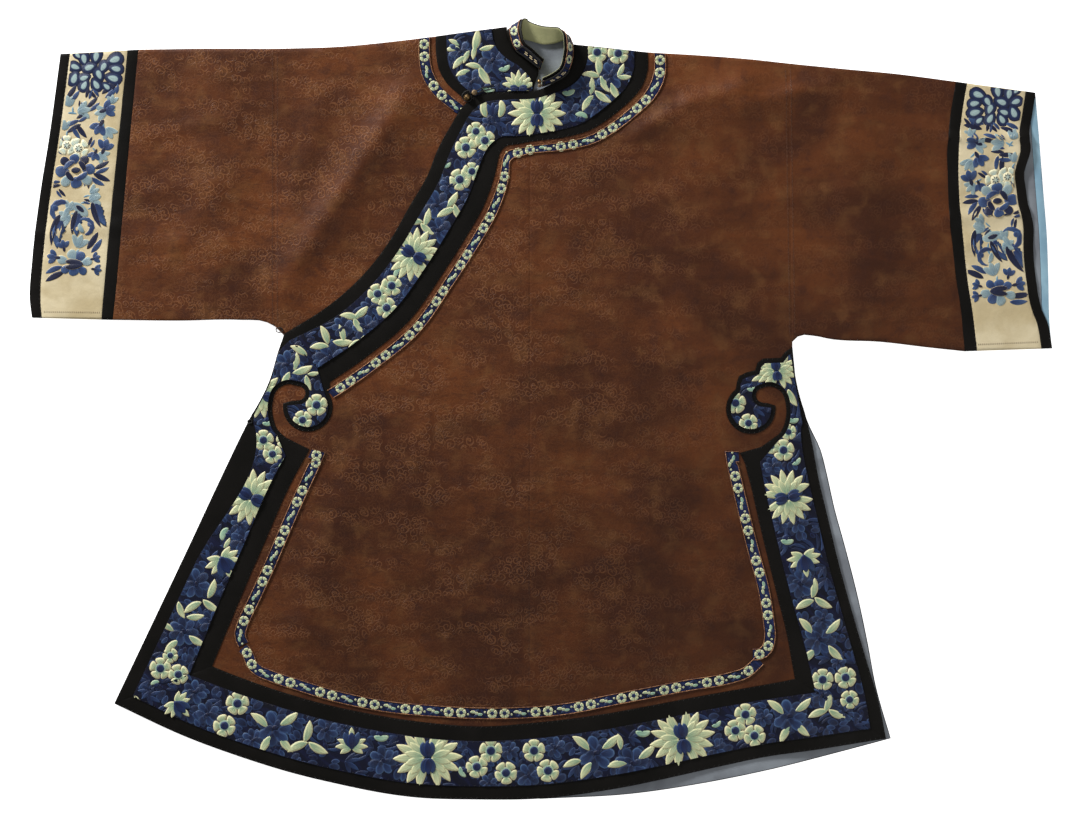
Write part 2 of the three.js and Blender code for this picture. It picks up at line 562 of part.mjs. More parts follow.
// Back: brown silk, black edge binding and grey-blue lining
const backBinding = lineStrip(backEdge, 0, BACK_BORDER);
addSolid('back_body', flatSheet(backOutline, 0).subtract(prism(backBinding, -GAP / 2)), 'silk');
addSolid('back_binding', flatSheet(backBinding, 0), 'black');
addSolid('back_lining', flatSheet(backOutline, PLY, LINING_INSET), 'lining');

// Fronts: the hidden front first, then the outer front over it
const underFront = sheet(underOutline, underHeight, 0).add(wall(SHOULDER_LEFT, underHeight, FOLD_WALL));
addSolid('front_under', underFront, 'silk');
const outerWall = wall(SHOULDER_RIGHT, frontHeight, -FOLD_WALL - GAP);
addSolid('front_outer', sheet(frontOutline, frontHeight, 0).add(outerWall), 'silk');

// Sleeves and cuffs are flat tubes, open at both ends

function tube(frontPoints, backPoints, edges, surface) {
  const upper = sheet(frontPoints, surface, 0);
  const lower = flatSheet(backPoints, 0);
  let solid = upper.add(lower);
  for (const edge of edges) {
    solid = solid.add(wall(edge, surface, FOLD_WALL).intersect(prism(frontPoints)));
  }
  return solid;
}

const sleeveLeft = [...SLEEVE_TOP_LEFT, ...bandLine(CUFF_LEFT, 1).slice(1, -1), ...SLEEVE_UNDER_LEFT];
const sleeveLeftEdges = [SLEEVE_TOP_LEFT, SLEEVE_UNDER_LEFT];
addSolid('sleeve_left', tube(sleeveLeft, sleeveLeft, sleeveLeftEdges, underHeight), 'silk');
const sleeveRight = [
  ...SLEEVE_TOP_RIGHT, ...bandLine(CUFF_RIGHT, 1).slice(1, -1), ...SLEEVE_UNDER_RIGHT,
];
const sleeveRightBack = [
  ...SLEEVE_TOP_RIGHT, ...bandLine(CUFF_RIGHT_BACK, 1).slice(1, -1), ...SLEEVE_UNDER_RIGHT,
];
const sleeveRightEdges = [SLEEVE_TOP_RIGHT.slice().reverse(), SLEEVE_UNDER_RIGHT.slice().reverse()];
addSolid('sleeve_right', tube(sleeveRight, sleeveRightBack, sleeveRightEdges, underHeight), 'silk');

function addCuff(side, rows, backRows) {
  const parts = [
    { name: 'cuff_edge', from: 0, to: CUFF_EDGE_SHARE, kind: 'black' },
    { name: 'cuff_panel', from: CUFF_EDGE_SHARE, to: CUFF_BAND_SHARE, kind: 'ivory' },
    { name: 'cuff_band', from: CUFF_BAND_SHARE, to: 1, kind: 'black' },
  ];
  for (const part of parts) {
    const top = [bandPoint(rows[0], part.from), bandPoint(rows[0], part.to)];
    const bottom = [bandPoint(rows.at(-1), part.to), bandPoint(rows.at(-1), part.from)];
    const edges = side === 'left' ? [top.reverse(), bottom.reverse()] : [top, bottom];
    const front = bandOutline(rows, part.from, part.to);
    const back = bandOutline(backRows, part.from, part.to);
    addSolid(`${part.name}_${side}`, tube(front, back, edges, underHeight), part.kind);
  }
}
addCuff('left', CUFF_LEFT, CUFF_LEFT);
addCuff('right', CUFF_RIGHT, CUFF_RIGHT_BACK);
const facingRight = inset(bandOutline(CUFF_RIGHT_BACK, 0.01, CUFF_FACING_SHARE), FOLD_WALL);
addSolid('cuff_facing_right', flatSheet(facingRight, PLY), 'facing');
const liningRight = inset(bandOutline(CUFF_RIGHT_BACK, CUFF_FACING_SHARE - 0.02, 0.8), FOLD_WALL);
addSolid('cuff_lining_right', flatSheet(liningRight, PLY), 'lining');

// Black borders on the fronts
const lapelTrim = prism(frontOutline, -GAP / 2);
const channelLeft = mirroredChannel(LOBE.leftX, LOBE.leftY, -1);
const channelRight = mirroredChannel(LOBE.rightX, LOBE.rightY, 1);
const lobeLeft = circle(LOBE.leftX, LOBE.leftY, LOBE.radius);
const lobeRight = circle(LOBE.rightX, LOBE.rightY, LOBE.radius);

addSolid('border_neck_left', sheet(bandOutline(NECK_LEFT, 0, 1), underHeight, PLY).subtract(lapelTrim), 'black');
addSolid('border_lapel', sheet(bandOutline(NECK_LAPEL, 0, 1), frontHeight, PLY), 'black');
const sideLeftBorder = sheet(bandOutline(SIDE_LEFT, 0, 1), frontHeight, PLY)
  .add(sheet(lobeLeft, frontHeight, PLY))
  .subtract(prism(channelLeft, 0));
addSolid('border_side_left', sideLeftBorder, 'black');
addSolid('border_hem', sheet(bandOutline(HEM, 0, 1), frontHeight, PLY), 'black');
const sideRightBorder = sheet(bandOutline(SIDE_RIGHT, 0, 1), frontHeight, PLY)
  .add(sheet(CLOUD_TOP_RIGHT, frontHeight, PLY))
  .add(sheet(lobeRight, frontHeight, PLY))
  .subtract(prism(channelRight, 0));
addSolid('border_side_right', sideRightBorder, 'black');

// Embroidered blue strips on the borders
const lift = 2 * PLY;
const lobeLeftInner = circle(LOBE.leftX, LOBE.leftY, LOBE.radius - LOBE.outline);
const lobeRightInner = circle(LOBE.rightX, LOBE.rightY, LOBE.radius - LOBE.outline);
addSolid('strip_neck_left', sheet(stripOutline(NECK_LEFT), underHeight, lift).subtract(lapelTrim), 'blue');
addSolid('strip_lapel', sheet(stripOutline(NECK_LAPEL), frontHeight, lift), 'blue');
const sideLeftStrip = sheet(stripOutline(SIDE_LEFT), frontHeight, lift)
  .add(sheet(lobeLeftInner, frontHeight, lift))
  .subtract(prism(channelLeft, -LOBE.outline));
addSolid('strip_side_left', sideLeftStrip, 'blue');
addSolid('strip_hem', sheet(stripOutline(HEM), frontHeight, lift), 'blue');
const sideRightStrip = sheet(stripOutline(SIDE_RIGHT), frontHeight, lift)
  .add(sheet(inset(CLOUD_TOP_RIGHT, LOBE.outline), frontHeight, lift))
  .add(sheet(lobeRightInner, frontHeight, lift))
  .subtract(prism(channelRight, -LOBE.outline));
addSolid('strip_side_right', sideRightStrip, 'blue');

// Narrow flower ribbons on the silk, beside the borders
const ribbonNeck = bandOutline(NECK_LEFT, RIBBON_FROM, RIBBON_TO);
addSolid('ribbon_neck_left', sheet(ribbonNeck, underHeight, PLY).subtract(lapelTrim), 'ribbon');
const ribbonLapel = bandOutline(NECK_LAPEL.slice(0, -1), RIBBON_FROM, RIBBON_TO);
addSolid('ribbon_lapel', sheet(ribbonLapel, frontHeight, PLY), 'ribbon');
const half = RIBBON_WIDTH / 2;
const ribbonSideLeft = lineStrip(RIBBON_SIDE_LEFT, -half, half);
const ribbonSideRight = lineStrip(RIBBON_SIDE_RIGHT, -half, half);
const ribbonHem = sheet(lineStrip(RIBBON_HEM, -half, half), frontHeight, PLY)
  .subtract(prism(ribbonSideLeft, -GAP / 2))
  .subtract(prism(ribbonSideRight, -GAP / 2));
addSolid('ribbon_side_left', sheet(ribbonSideLeft, frontHeight, PLY), 'ribbon');
addSolid('ribbon_hem', ribbonHem, 'ribbon');
addSolid('ribbon_side_right', sheet(ribbonSideRight, frontHeight, PLY), 'ribbon');

// Collar: lining inside, black band outside it and the flower ribbon outermost
addSolid('collar_lining', collarWall(0, 1, -PLY, -GAP), 'collar');
addSolid('collar_band', collarWall(0, 1, 0, CLOTH), 'black');
addSolid('collar_ribbon', collarWall(COLLAR_RIBBON_FROM, COLLAR_RIBBON_TO, PLY + 0.3, PLY + 1.1), 'ribbon');

// Buttons, knots and loops
for (const ball of BALLS) {
  const geometry = new THREE.SphereGeometry(ball.radius, 14, 10);
  const z = underHeight(ball.x, ball.y) + ball.plies * PLY + ball.radius;
  geometry.translate(ball.x, ball.y, z);
  addGeometry(ball.name, geometry, 'gilt');
}
for (const knob of COLLAR_KNOBS) {
  const geometry = new THREE.SphereGeometry(knob.radius, 12, 8);
  geometry.translate(knob.x, knob.y, knob.z);
  addGeometry(knob.name, geometry, 'gilt');
}
for (const loop of LOOPS) {
  const geometry = new THREE.TorusGeometry(1, loop.cord / loop.radiusX, 6, 16);
  geometry.scale(loop.radiusX, loop.radiusY, loop.radiusX);
  geometry.translate(loop.x, loop.y, underHeight(loop.x, loop.y) + loop.lift + loop.cord);
  addGeometry(loop.name, geometry, 'black');
}

export default group;
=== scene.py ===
# %% [markdown]
# # A lady's informal robe of brown silk, laid flat
#
# The robe is a loose T-shaped coat that closes at the right side. It is cut from brown damask with small
# cloud curls woven into it, edged with wide black satin, and on the satin lie strips of blue embroidery.
# Everything here is in one frame: +X to the right-hand sleeve, +Y to the neck, +Z up from the floor.
# Lengths in the tables are millimetres, and a point becomes metres only when a piece is finished.

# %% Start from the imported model
import math
import random

import bmesh
import bpy
import numpy as np
from mathutils import Matrix, Vector


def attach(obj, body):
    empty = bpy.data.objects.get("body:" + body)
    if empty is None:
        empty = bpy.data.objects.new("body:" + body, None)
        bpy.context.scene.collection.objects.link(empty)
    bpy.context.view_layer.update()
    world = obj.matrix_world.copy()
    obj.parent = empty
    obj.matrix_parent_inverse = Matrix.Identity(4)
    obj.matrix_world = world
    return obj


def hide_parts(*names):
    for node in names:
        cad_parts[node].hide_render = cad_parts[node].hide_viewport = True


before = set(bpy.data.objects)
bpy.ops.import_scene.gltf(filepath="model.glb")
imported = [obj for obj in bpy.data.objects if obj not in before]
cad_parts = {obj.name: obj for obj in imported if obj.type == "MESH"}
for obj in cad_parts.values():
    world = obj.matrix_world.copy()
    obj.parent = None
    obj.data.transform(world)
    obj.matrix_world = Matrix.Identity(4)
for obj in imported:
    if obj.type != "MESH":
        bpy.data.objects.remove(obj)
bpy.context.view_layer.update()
MM = 0.001
CLOTH = 1.0
GAP = 0.3
PLY = CLOTH + GAP
FRONT_BASE = 2 * PLY

# %% [markdown]
# ## The lie of the cloth
#
# A robe on a table is not flat: air and spare width stand up as soft ridges that run through every layer
# at once. So one height map serves all the layers, and each layer is only lifted by the plies under it.
# Ridges are gaussian in their distance from a line. The broad ones are those of the solid model, and the
# narrow ones are the sharper creases and pulls that the light catches.

# %% Ridges: from, to, height, half width
FOLDS = [
    (-185, 420, -345, 175, 6.0, 34), (136, 379, 274, 440, 5.0, 28), (274, 412, 395, 441, 4.5, 28),
    (200, 330, 225, -40, 3.0, 60), (-40, 300, -30, -150, 2.2, 60), (-440, 450, -455, 160, 3.0, 45),
    (440, 400, 450, 130, 3.0, 45), (495, 368, 560, 378, 3.5, 28), (560, 335, 690, 345, 5.0, 30),
    (-300, -200, -335, -480, 3.5, 50), (-70, -230, -75, -520, 3.0, 50), (120, -160, 150, -510, 3.5, 50),
    (310, -130, 375, -450, 3.5, 45),
]
CREASES = [
    (136, 380, 201, 418, 2.6, 9), (201, 418, 274, 440, 2.4, 9), (274, 416, 345, 432, 2.2, 9),
    (345, 432, 395, 441, 1.6, 9), (-200, 405, -330, 200, 1.6, 12), (-420, 400, -540, 372, 1.1, 10),
    (-400, 318, -530, 300, 1.0, 12), (-430, 225, -560, 232, 1.0, 12), (420, 300, 545, 318, 1.0, 12),
    (400, 205, 540, 190, 1.0, 12), (556, 369, 668, 373, 3.6, 5),
    (558, 262, 668, 268, 2.6, 7), (564, 226, 672, 216, 1.4, 8), (-576, 250, -690, 240, 1.6, 7),
    (-190, 425, -330, 215, 2.4, 20), (-300, 430, -350, 250, 1.6, 18), (-420, 330, -520, 200, 1.4, 20),
    (170, 400, 300, 330, 1.8, 18), (330, 420, 430, 330, 1.6, 16), (60, 320, 20, 60, 1.4, 20),
    (-250, -60, -330, -300, 1.6, 18), (230, 60, 280, -140, 1.6, 18), (-20, -120, -60, -400, 1.6, 20),
    (90, -60, 150, -380, 1.4, 18), (440, 240, 540, 250, 1.4, 12),
    (-30, 120, 60, -300, 0.9, 16), (90, 140, 190, -330, 0.9, 18), (-150, 20, -230, -330, 0.9, 16),
    (30, 250, 190, 300, 0.9, 14), (-120, 170, -40, 60, 0.7, 14), (-590, 330, -660, 320, 0.8, 12),
    (-600, 190, -680, 200, 0.8, 12), (596, 165, 676, 172, 0.8, 12), (230, 240, 320, 150, 0.8, 16),
]
RAMP_X, RAMP_Y, RAMP = 96, -106, 70


def ridges(x, y, rows):
    total = np.zeros_like(x)
    for ax, ay, bx, by, height, width in rows:
        dx, dy = bx - ax, by - ay
        share = np.clip(((x - ax) * dx + (y - ay) * dy) / (dx * dx + dy * dy), 0, 1)
        away = (x - ax - share * dx) ** 2 + (y - ay - share * dy) ** 2
        total += height * np.exp(-away / width ** 2)
    return total


def under_height(x, y):
    """Lower side of the hidden front and the sleeves."""
    soft = np.sin(x / 31 + 1.7 * np.sin(y / 57)) * np.sin(y / 39 + 1.3 * np.sin(x / 63))
    return FRONT_BASE + ridges(x, y, FOLDS) + ridges(x, y, CREASES) + 0.22 * (1 + soft)


def front_height(x, y):
    """Lower side of the outer front, which comes down past the edge of the hidden one."""
    def ease(d):
        s = np.clip(d / RAMP, 0, 1)
        return 1 - s * s * (3 - 2 * s)
    return under_height(x, y) + PLY * ease(x - RAMP_X) * ease(RAMP_Y - y)


def flat_height(x, y):
    return np.zeros_like(x)


print("height at the left fold", round(float(under_height(np.array(-265.), np.array(297.))), 2), "mm")

# %% [markdown]
# ## The pattern pieces
#
# A band is a row of sections across it: a point on its finished edge, a point on its inner edge, and the
# shares of that width between which its embroidered strip lies. Sections are turned into smooth lines by
# one curve through them, which is what a tailor's long curve does between marks on the cloth.

# %% Bands: edge x, y, inner x, y, strip from, strip to
NECK_LAPEL = [
    (43, 499, 146, 488, .20, .82), (43, 485, 146, 463, .20, .82), (40, 471, 135, 436, .20, .82),
    (34, 459, 115, 415, .20, .82), (27, 452, 90, 395, .19, .82), (20, 448, 64, 380, .18, .84),
    (11, 443, 34, 372, .16, .85), (-11, 435, -12, 366, .15, .87), (-49, 434, -33, 362, .15, .85),
    (-88, 429, -48, 359, .16, .82), (-107, 414, -55, 352, .18, .80), (-122, 390, -58, 343, .19, .75),
    (-139, 360, -63, 320, .20, .72), (-156, 318, -78, 278, .20, .72), (-179, 279, -100, 239, .20, .72),
    (-207, 230, -137, 181, .20, .72), (-241, 186, -178, 123, .20, .72), (-295, 138, -240, 70, .20, .72),
    (-351, 103, -288, 37, .13, .72),
]
NECK_LEFT = [
    (-47, 523, -144, 510, .21, .85), (-45, 508, -144, 490, .20, .85), (-41, 499, -141, 468, .19, .86),
    (-32, 488, -130, 447, .17, .87), (-15, 477, -112, 430, .16, .88), (-3, 462, -85, 410, .15, .88),
    (-8, 446, -62, 392, .06, .94), (-11, 434, -48, 380, .04, .96),
]
SIDE_LEFT = [
    (-351, 103, -288, 37, .13, .72), (-359, 81, -291, 22, .02, .80), (-371, 40, -296, 0, .02, .85),
    (-388, 5, -304, -30, .02, .85), (-397, -10, -309, -44, .04, .75), (-406, -28, -320, -62, .19, .74),
    (-496, -218, -387, -203, .19, .74), (-584, -403, -450, -352, .19, .77),
]
HEM = [
    (-584, -403, -450, -352, .19, .77), (-492, -446, -412, -367, .18, .79), (-408, -477, -360, -385, .18, .80),
    (-291, -510, -268, -410, .18, .80), (-166, -532, -155, -429, .18, .80), (-84, -534, -84, -434, .18, .80),
    (-1, -533, -7, -429, .18, .80), (93, -521, 81, -418, .18, .80), (168, -506, 152, -405, .18, .80),
    (250, -488, 233, -390, .18, .80), (313, -475, 290, -380, .18, .80), (376, -466, 323, -374, .18, .79),
    (472, -451, 347, -369, .17, .78),
]
SIDE_RIGHT = [
    (472, -451, 347, -369, .17, .78), (462, -400, 342, -341, .16, .79), (445, -343, 336, -308, .15, .80),
    (423, -268, 324, -260, .15, .81), (406, -206, 314, -220, .15, .81), (394, -155, 303, -175, .15, .81),
    (380, -96, 289, -114, .15, .81), (369, -38, 277, -52, .14, .80), (361, -5, 283, -24, .08, .90),
]
CUFF_LEFT = [
    (-658, 486, -551, 492), (-673, 375, -562, 378), (-685, 300, -569, 303), (-697, 201, -578, 203),
    (-700, 149, -583, 150), (-697, 125, -586, 122),
]
CUFF_RIGHT = [
    (677, 433, 568, 448), (673, 405, 561, 408), (668, 375, 557, 376), (670, 355, 555, 350),
    (661, 322, 556, 322), (664, 300, 557, 300), (667, 280, 558, 278), (674, 254, 560, 252),
    (674, 217, 564, 215), (678, 175, 569, 172), (685, 138, 575, 134), (694, 117, 577, 110), (700, 83, 580, 79),
]
CUFF_RIGHT_BACK = [
    (677, 433, 568, 448), (682, 376, 557, 376), (688, 300, 557, 300), (693, 238, 562, 238),
    (695, 182, 568, 180), (697, 112, 577, 110), (700, 83, 580, 79),
]

# %% Shoulders, sleeves, sides and neck
SHOULDER_LEFT = [(-47, 523), (-96, 516), (-144, 510), (-193, 504), (-275, 496), (-364, 493)]
SHOULDER_RIGHT = [(47, 499), (64, 496), (136, 489), (218, 484), (293, 478), (338, 473)]
SLEEVE_TOP_LEFT = [(-364, 493), (-474, 493), (-551, 492)]
SLEEVE_TOP_RIGHT = [(338, 473), (396, 467), (492, 458), (568, 448)]
SLEEVE_UNDER_LEFT = [(-586, 122), (-495, 121), (-412, 122), (-376, 119), (-364, 113)]
SLEEVE_UNDER_RIGHT = [(580, 79), (533, 84), (464, 92), (395, 96), (375, 100), (353, 100), (344, 92)]
BACK_SIDE_RIGHT = [
    (344, 92), (344, 77), (348, 45), (356, 12), (365, -17), (383, -56), (392, -91), (402, -136),
    (415, -183), (434, -257), (447, -318), (459, -381), (479, -451),
]
BACK_HEM_RIGHT = [(408, -470), (313, -494), (219, -513), (124, -527), (-1, -534)]
BACK_NECK = [(-40, 511), (-27, 504), (-14, 500), (3, 496), (15, 496), (29, 501), (38, 505)]
UNDER_HIDDEN = [(-7, 451), (-11, 434), (-4, 405), (30, 330), (52, 180), (56, -70)]
CLOUD_TOP_RIGHT = [
    (361, -5), (353, 20), (348, 45), (344, 85), (334, 78), (328, 70), (304, 69), (296, 63), (293, 53),
    (281, 50), (271, 45), (268, 37), (266.5, 27),
]
CHANNEL = [
    (13, 9, 13, 28.4), (20, 8, 27, 31), (31, 8, 42, 23), (34, -1, 48, 6), (32, -12, 48, -12),
    (25, -23, 42, -30), (12, -32, 30, -42),
]
RIBBON_SIDE_LEFT = [
    (-304, -63), (-337, -135), (-375, -223), (-395, -266), (-408, -294), (-412, -310), (-407, -322),
]
RIBBON_HEM = [
    (-408, -327), (-401, -335), (-396, -349), (-388, -357), (-370, -365), (-333, -377), (-284, -392),
    (-212, -407), (-149, -413), (-84, -416), (29, -411), (107, -396), (195, -379), (262, -367), (280, -361),
    (291, -352), (299, -344),
]
RIBBON_SIDE_RIGHT = [
    (290, -336), (301, -335), (309, -328), (313, -312), (311, -288), (303, -240), (292, -200), (281, -157),
    (267, -98), (259, -64),
]
COLLAR = [
    (-1, 464, 7.0, 4, 475, 27), (-22, 479, 6.8, -11, 489, 27), (-38, 492, 6.6, -22, 498, 26),
    (-44, 506, 6.4, -25, 507, 24), (-46, 517, 6.2, -27, 522, 20), (-41, 521, 6.0, -25, 531, 17),
    (-35, 515, 5.8, -20, 532, 15), (-26, 507, 5.6, -17, 529, 13), (-12, 503, 5.4, -8, 525, 13),
    (3, 499, 5.4, 4, 522, 13), (17, 500, 5.6, 17, 521, 13), (31, 504, 6.2, 25, 519, 15),
    (40, 505, 7.0, 30, 512, 20), (44, 496, 7.4, 32, 498, 24), (44, 474, 7.6, 30, 478, 26),
    (36, 458, 7.6, 26, 465, 27), (20, 448, 7.6, 17, 457, 27), (1, 441, 7.6, 2, 450, 27),
]


DOUBLED = 0.4


def run_of(line):
    """How far each point lies along the line."""
    return np.concatenate([[0], np.cumsum(np.hypot(*np.diff(line, axis=0).T))])


def spot_at(s, t, line):
    """x and y of the line at the runs s, where t holds the runs of its points."""
    return [np.interp(s, t, line[:, k]) for k in (0, 1)]


def smooth(rows, step=9.0, paired=False):
    """The rows again along one soft curve through them, about step mm apart."""
    rows = np.array(rows, float)
    middle = (rows[:, 0:2] + rows[:, 2:4]) / 2 if paired else rows[:, 0:2]
    t = run_of(middle)
    slope = np.gradient(rows, t, axis=0)
    u = np.linspace(0, t[-1], max(2, round(t[-1] / step)) + 1)
    i = np.clip(np.searchsorted(t, u, side="right") - 1, 0, len(t) - 2)
    h = (t[i + 1] - t[i])[:, None]
    s = (u - t[i])[:, None] / h
    return ((2 * s ** 3 - 3 * s ** 2 + 1) * rows[i] + (s ** 3 - 2 * s ** 2 + s) * h * slope[i]
            + (3 * s ** 2 - 2 * s ** 3) * rows[i + 1] + (s ** 3 - s ** 2) * h * slope[i + 1])


def across(rows, share):
    """The line at this share of the way across a band."""
    share = np.reshape(share, (-1, 1))
    return rows[:, 0:2] + (rows[:, 2:4] - rows[:, 0:2]) * share


def offset(line, distance):
    """The line again, this far to its left."""
    way = np.gradient(np.array(line, float), axis=0)
    way /= np.hypot(way[:, 0], way[:, 1])[:, None]
    return np.array(line, float) + distance * np.stack([-way[:, 1], way[:, 0]], axis=1)


def drawn_in(outline, distance):
    """A closed outline that turns left, drawn in by this much all round."""
    return offset(np.concatenate([outline[-1:], outline, outline[:1]]), distance)[1:-1]


def joined(*lines):
    """One closed outline from several lines, without doubled points, turning left."""
    points = np.concatenate([np.array(line, float)[:, :2] for line in lines])
    gap = np.hypot(*(points - np.roll(points, 1, axis=0)).T)
    points = points[gap > DOUBLED]
    return points if area(points) > 0 else points[::-1]


def slab(rows, near, far):
    """The outline of a band between two shares of its width."""
    return joined(across(rows, near), across(rows, far)[::-1])


def area(points):
    x, y = points.T
    return float(np.sum(x * np.roll(y, -1) - np.roll(x, -1) * y) / 2)


def length(line):
    return float(np.sum(np.hypot(*np.diff(np.array(line)[:, :2], axis=0).T)))


def inside(points, x, y):
    """Even-odd test of many points against one outline."""
    x, y = np.atleast_1d(x), np.atleast_1d(y)
    (ax, ay), (bx, by) = points.T, np.roll(points, -1, axis=0).T
    spans = (ay[:, None] > y) != (by[:, None] > y)
    rise = np.where(by == ay, 1, by - ay)[:, None]
    cross = ax[:, None] + (y - ay[:, None]) * (bx - ax)[:, None] / rise > x
    return np.sum(spans & cross, axis=0) % 2 == 1


def arc(cx, cy, radius, start, end, count=22):
    a = np.radians(np.linspace(start, end, count))
    return np.stack([cx + radius * np.cos(a), cy + radius * np.sin(a)], axis=1)


bands = {name: smooth(rows, 9, True) for name, rows in [
    ("neck_left", NECK_LEFT), ("lapel", NECK_LAPEL), ("side_left", SIDE_LEFT), ("hem", HEM),
    ("side_right", SIDE_RIGHT)]}
print({name: len(rows) for name, rows in bands.items()})

# %% [markdown]
# ## Dyes and weaves
#
# Each cloth gets its own shader. Damask shows its pattern only by a change of sheen, so the curls move
# the roughness and the colour a little and never stand out. A curl is a spiral about the nearest point of
# a jittered lattice, which is how small woven clouds are spread over the ground. Positions are taken in
# millimetres from the robe's own frame, so thread counts are real.

# %% Shader helpers


def tint(r, g, b):
    """A dye as seen, 0 to 255, as linear light."""
    return tuple(((c / 255 + 0.055) / 1.055) ** 2.4 if c > 10 else c / 255 / 12.92 for c in (r, g, b)) + (1.0,)


def add(tree, kind, inputs=(), **settings):
    node = tree.nodes.new("ShaderNode" + kind)
    for key, value in settings.items():
        setattr(node, key, value)
    for key, value in dict(inputs).items():
        if isinstance(value, bpy.types.NodeSocket):
            tree.links.new(value, node.inputs[key])
        else:
            node.inputs[key].default_value = value
    return node


def calc(tree, operation, *values):
    return add(tree, "Math", enumerate(values), operation=operation).outputs[0]


def times(tree, a, b):
    return calc(tree, "MULTIPLY", a, b)


def vector(tree, operation, a, b):
    return add(tree, "VectorMath", {0: a, 1: b}, operation=operation).outputs[0]


def scaled(tree, value, share):
    return add(tree, "VectorMath", {0: value, "Scale": share}, operation="SCALE").outputs[0]


def mixed(tree, share, a, b):
    return add(tree, "Mix", {0: share, 6: a, 7: b}, data_type="RGBA").outputs[2]


def layered(tree, share, strength, body, dye):
    """A second dye over the body where share is high, at most at this strength."""
    return mixed(tree, times(tree, share, strength), body, dye)


def between(tree, value, low, high, to_low=0.0, to_high=1.0):
    """The value from low to high, eased and stretched to the other two."""
    values = {"Value": value, "From Min": low, "From Max": high, "To Min": to_low, "To Max": to_high}
    return add(tree, "MapRange", values, interpolation_type="SMOOTHSTEP").outputs[0]


def noise(tree, place, scale, detail=3.0, distortion=0.0):
    values = {"Vector": place, "Scale": scale, "Detail": detail, "Distortion": distortion}
    return add(tree, "TexNoise", values).outputs["Fac"]


def slanted(tree, place, turn, along, over):
    """The place turned and drawn out, so that a noise on it runs in streaks."""
    values = {"Vector": place, "Rotation": (0, 0, turn), "Scale": (along, over, 1)}
    return add(tree, "Mapping", values).outputs[0]


def wave(tree, place, period, direction, distortion=0.0):
    values = {"Vector": place, "Scale": 0.314 / period, "Distortion": distortion, "Detail": 1.0}
    return add(tree, "TexWave", values, bands_direction=direction).outputs["Fac"]


def dyed(name, roughness, sheen=0.0, specular=0.4, metallic=0.0, coat=0.0):
    """A new material, its principled node and its place in millimetres."""
    material = bpy.data.materials.new(name)
    material.use_nodes = True
    tree = material.node_tree
    shader = tree.nodes["Principled BSDF"]
    for key, value in {"Roughness": roughness, "Sheen Weight": sheen, "Sheen Roughness": 0.4,
                       "Specular IOR Level": specular, "Metallic": metallic, "Coat Weight": coat}.items():
        shader.inputs[key].default_value = value
    place = scaled(tree, add(tree, "TexCoord").outputs["Object"], 1000.0)
    return material, tree, shader, place


def finish_cloth(tree, shader, colour, height, strength, distance=0.0004):
    tree.links.new(colour, shader.inputs["Base Color"])
    bump = add(tree, "Bump", {"Height": height, "Strength": strength, "Distance": distance})
    tree.links.new(bump.outputs[0], shader.inputs["Normal"])


def woven(tree, place, period):
    """Over-and-under of the threads, from 0 to 1."""
    warp = wave(tree, place, period, "X")
    weft = wave(tree, place, period * 1.15, "Y")
    return times(tree, calc(tree, "ADD", warp, weft), 0.5)


# %% Brown damask


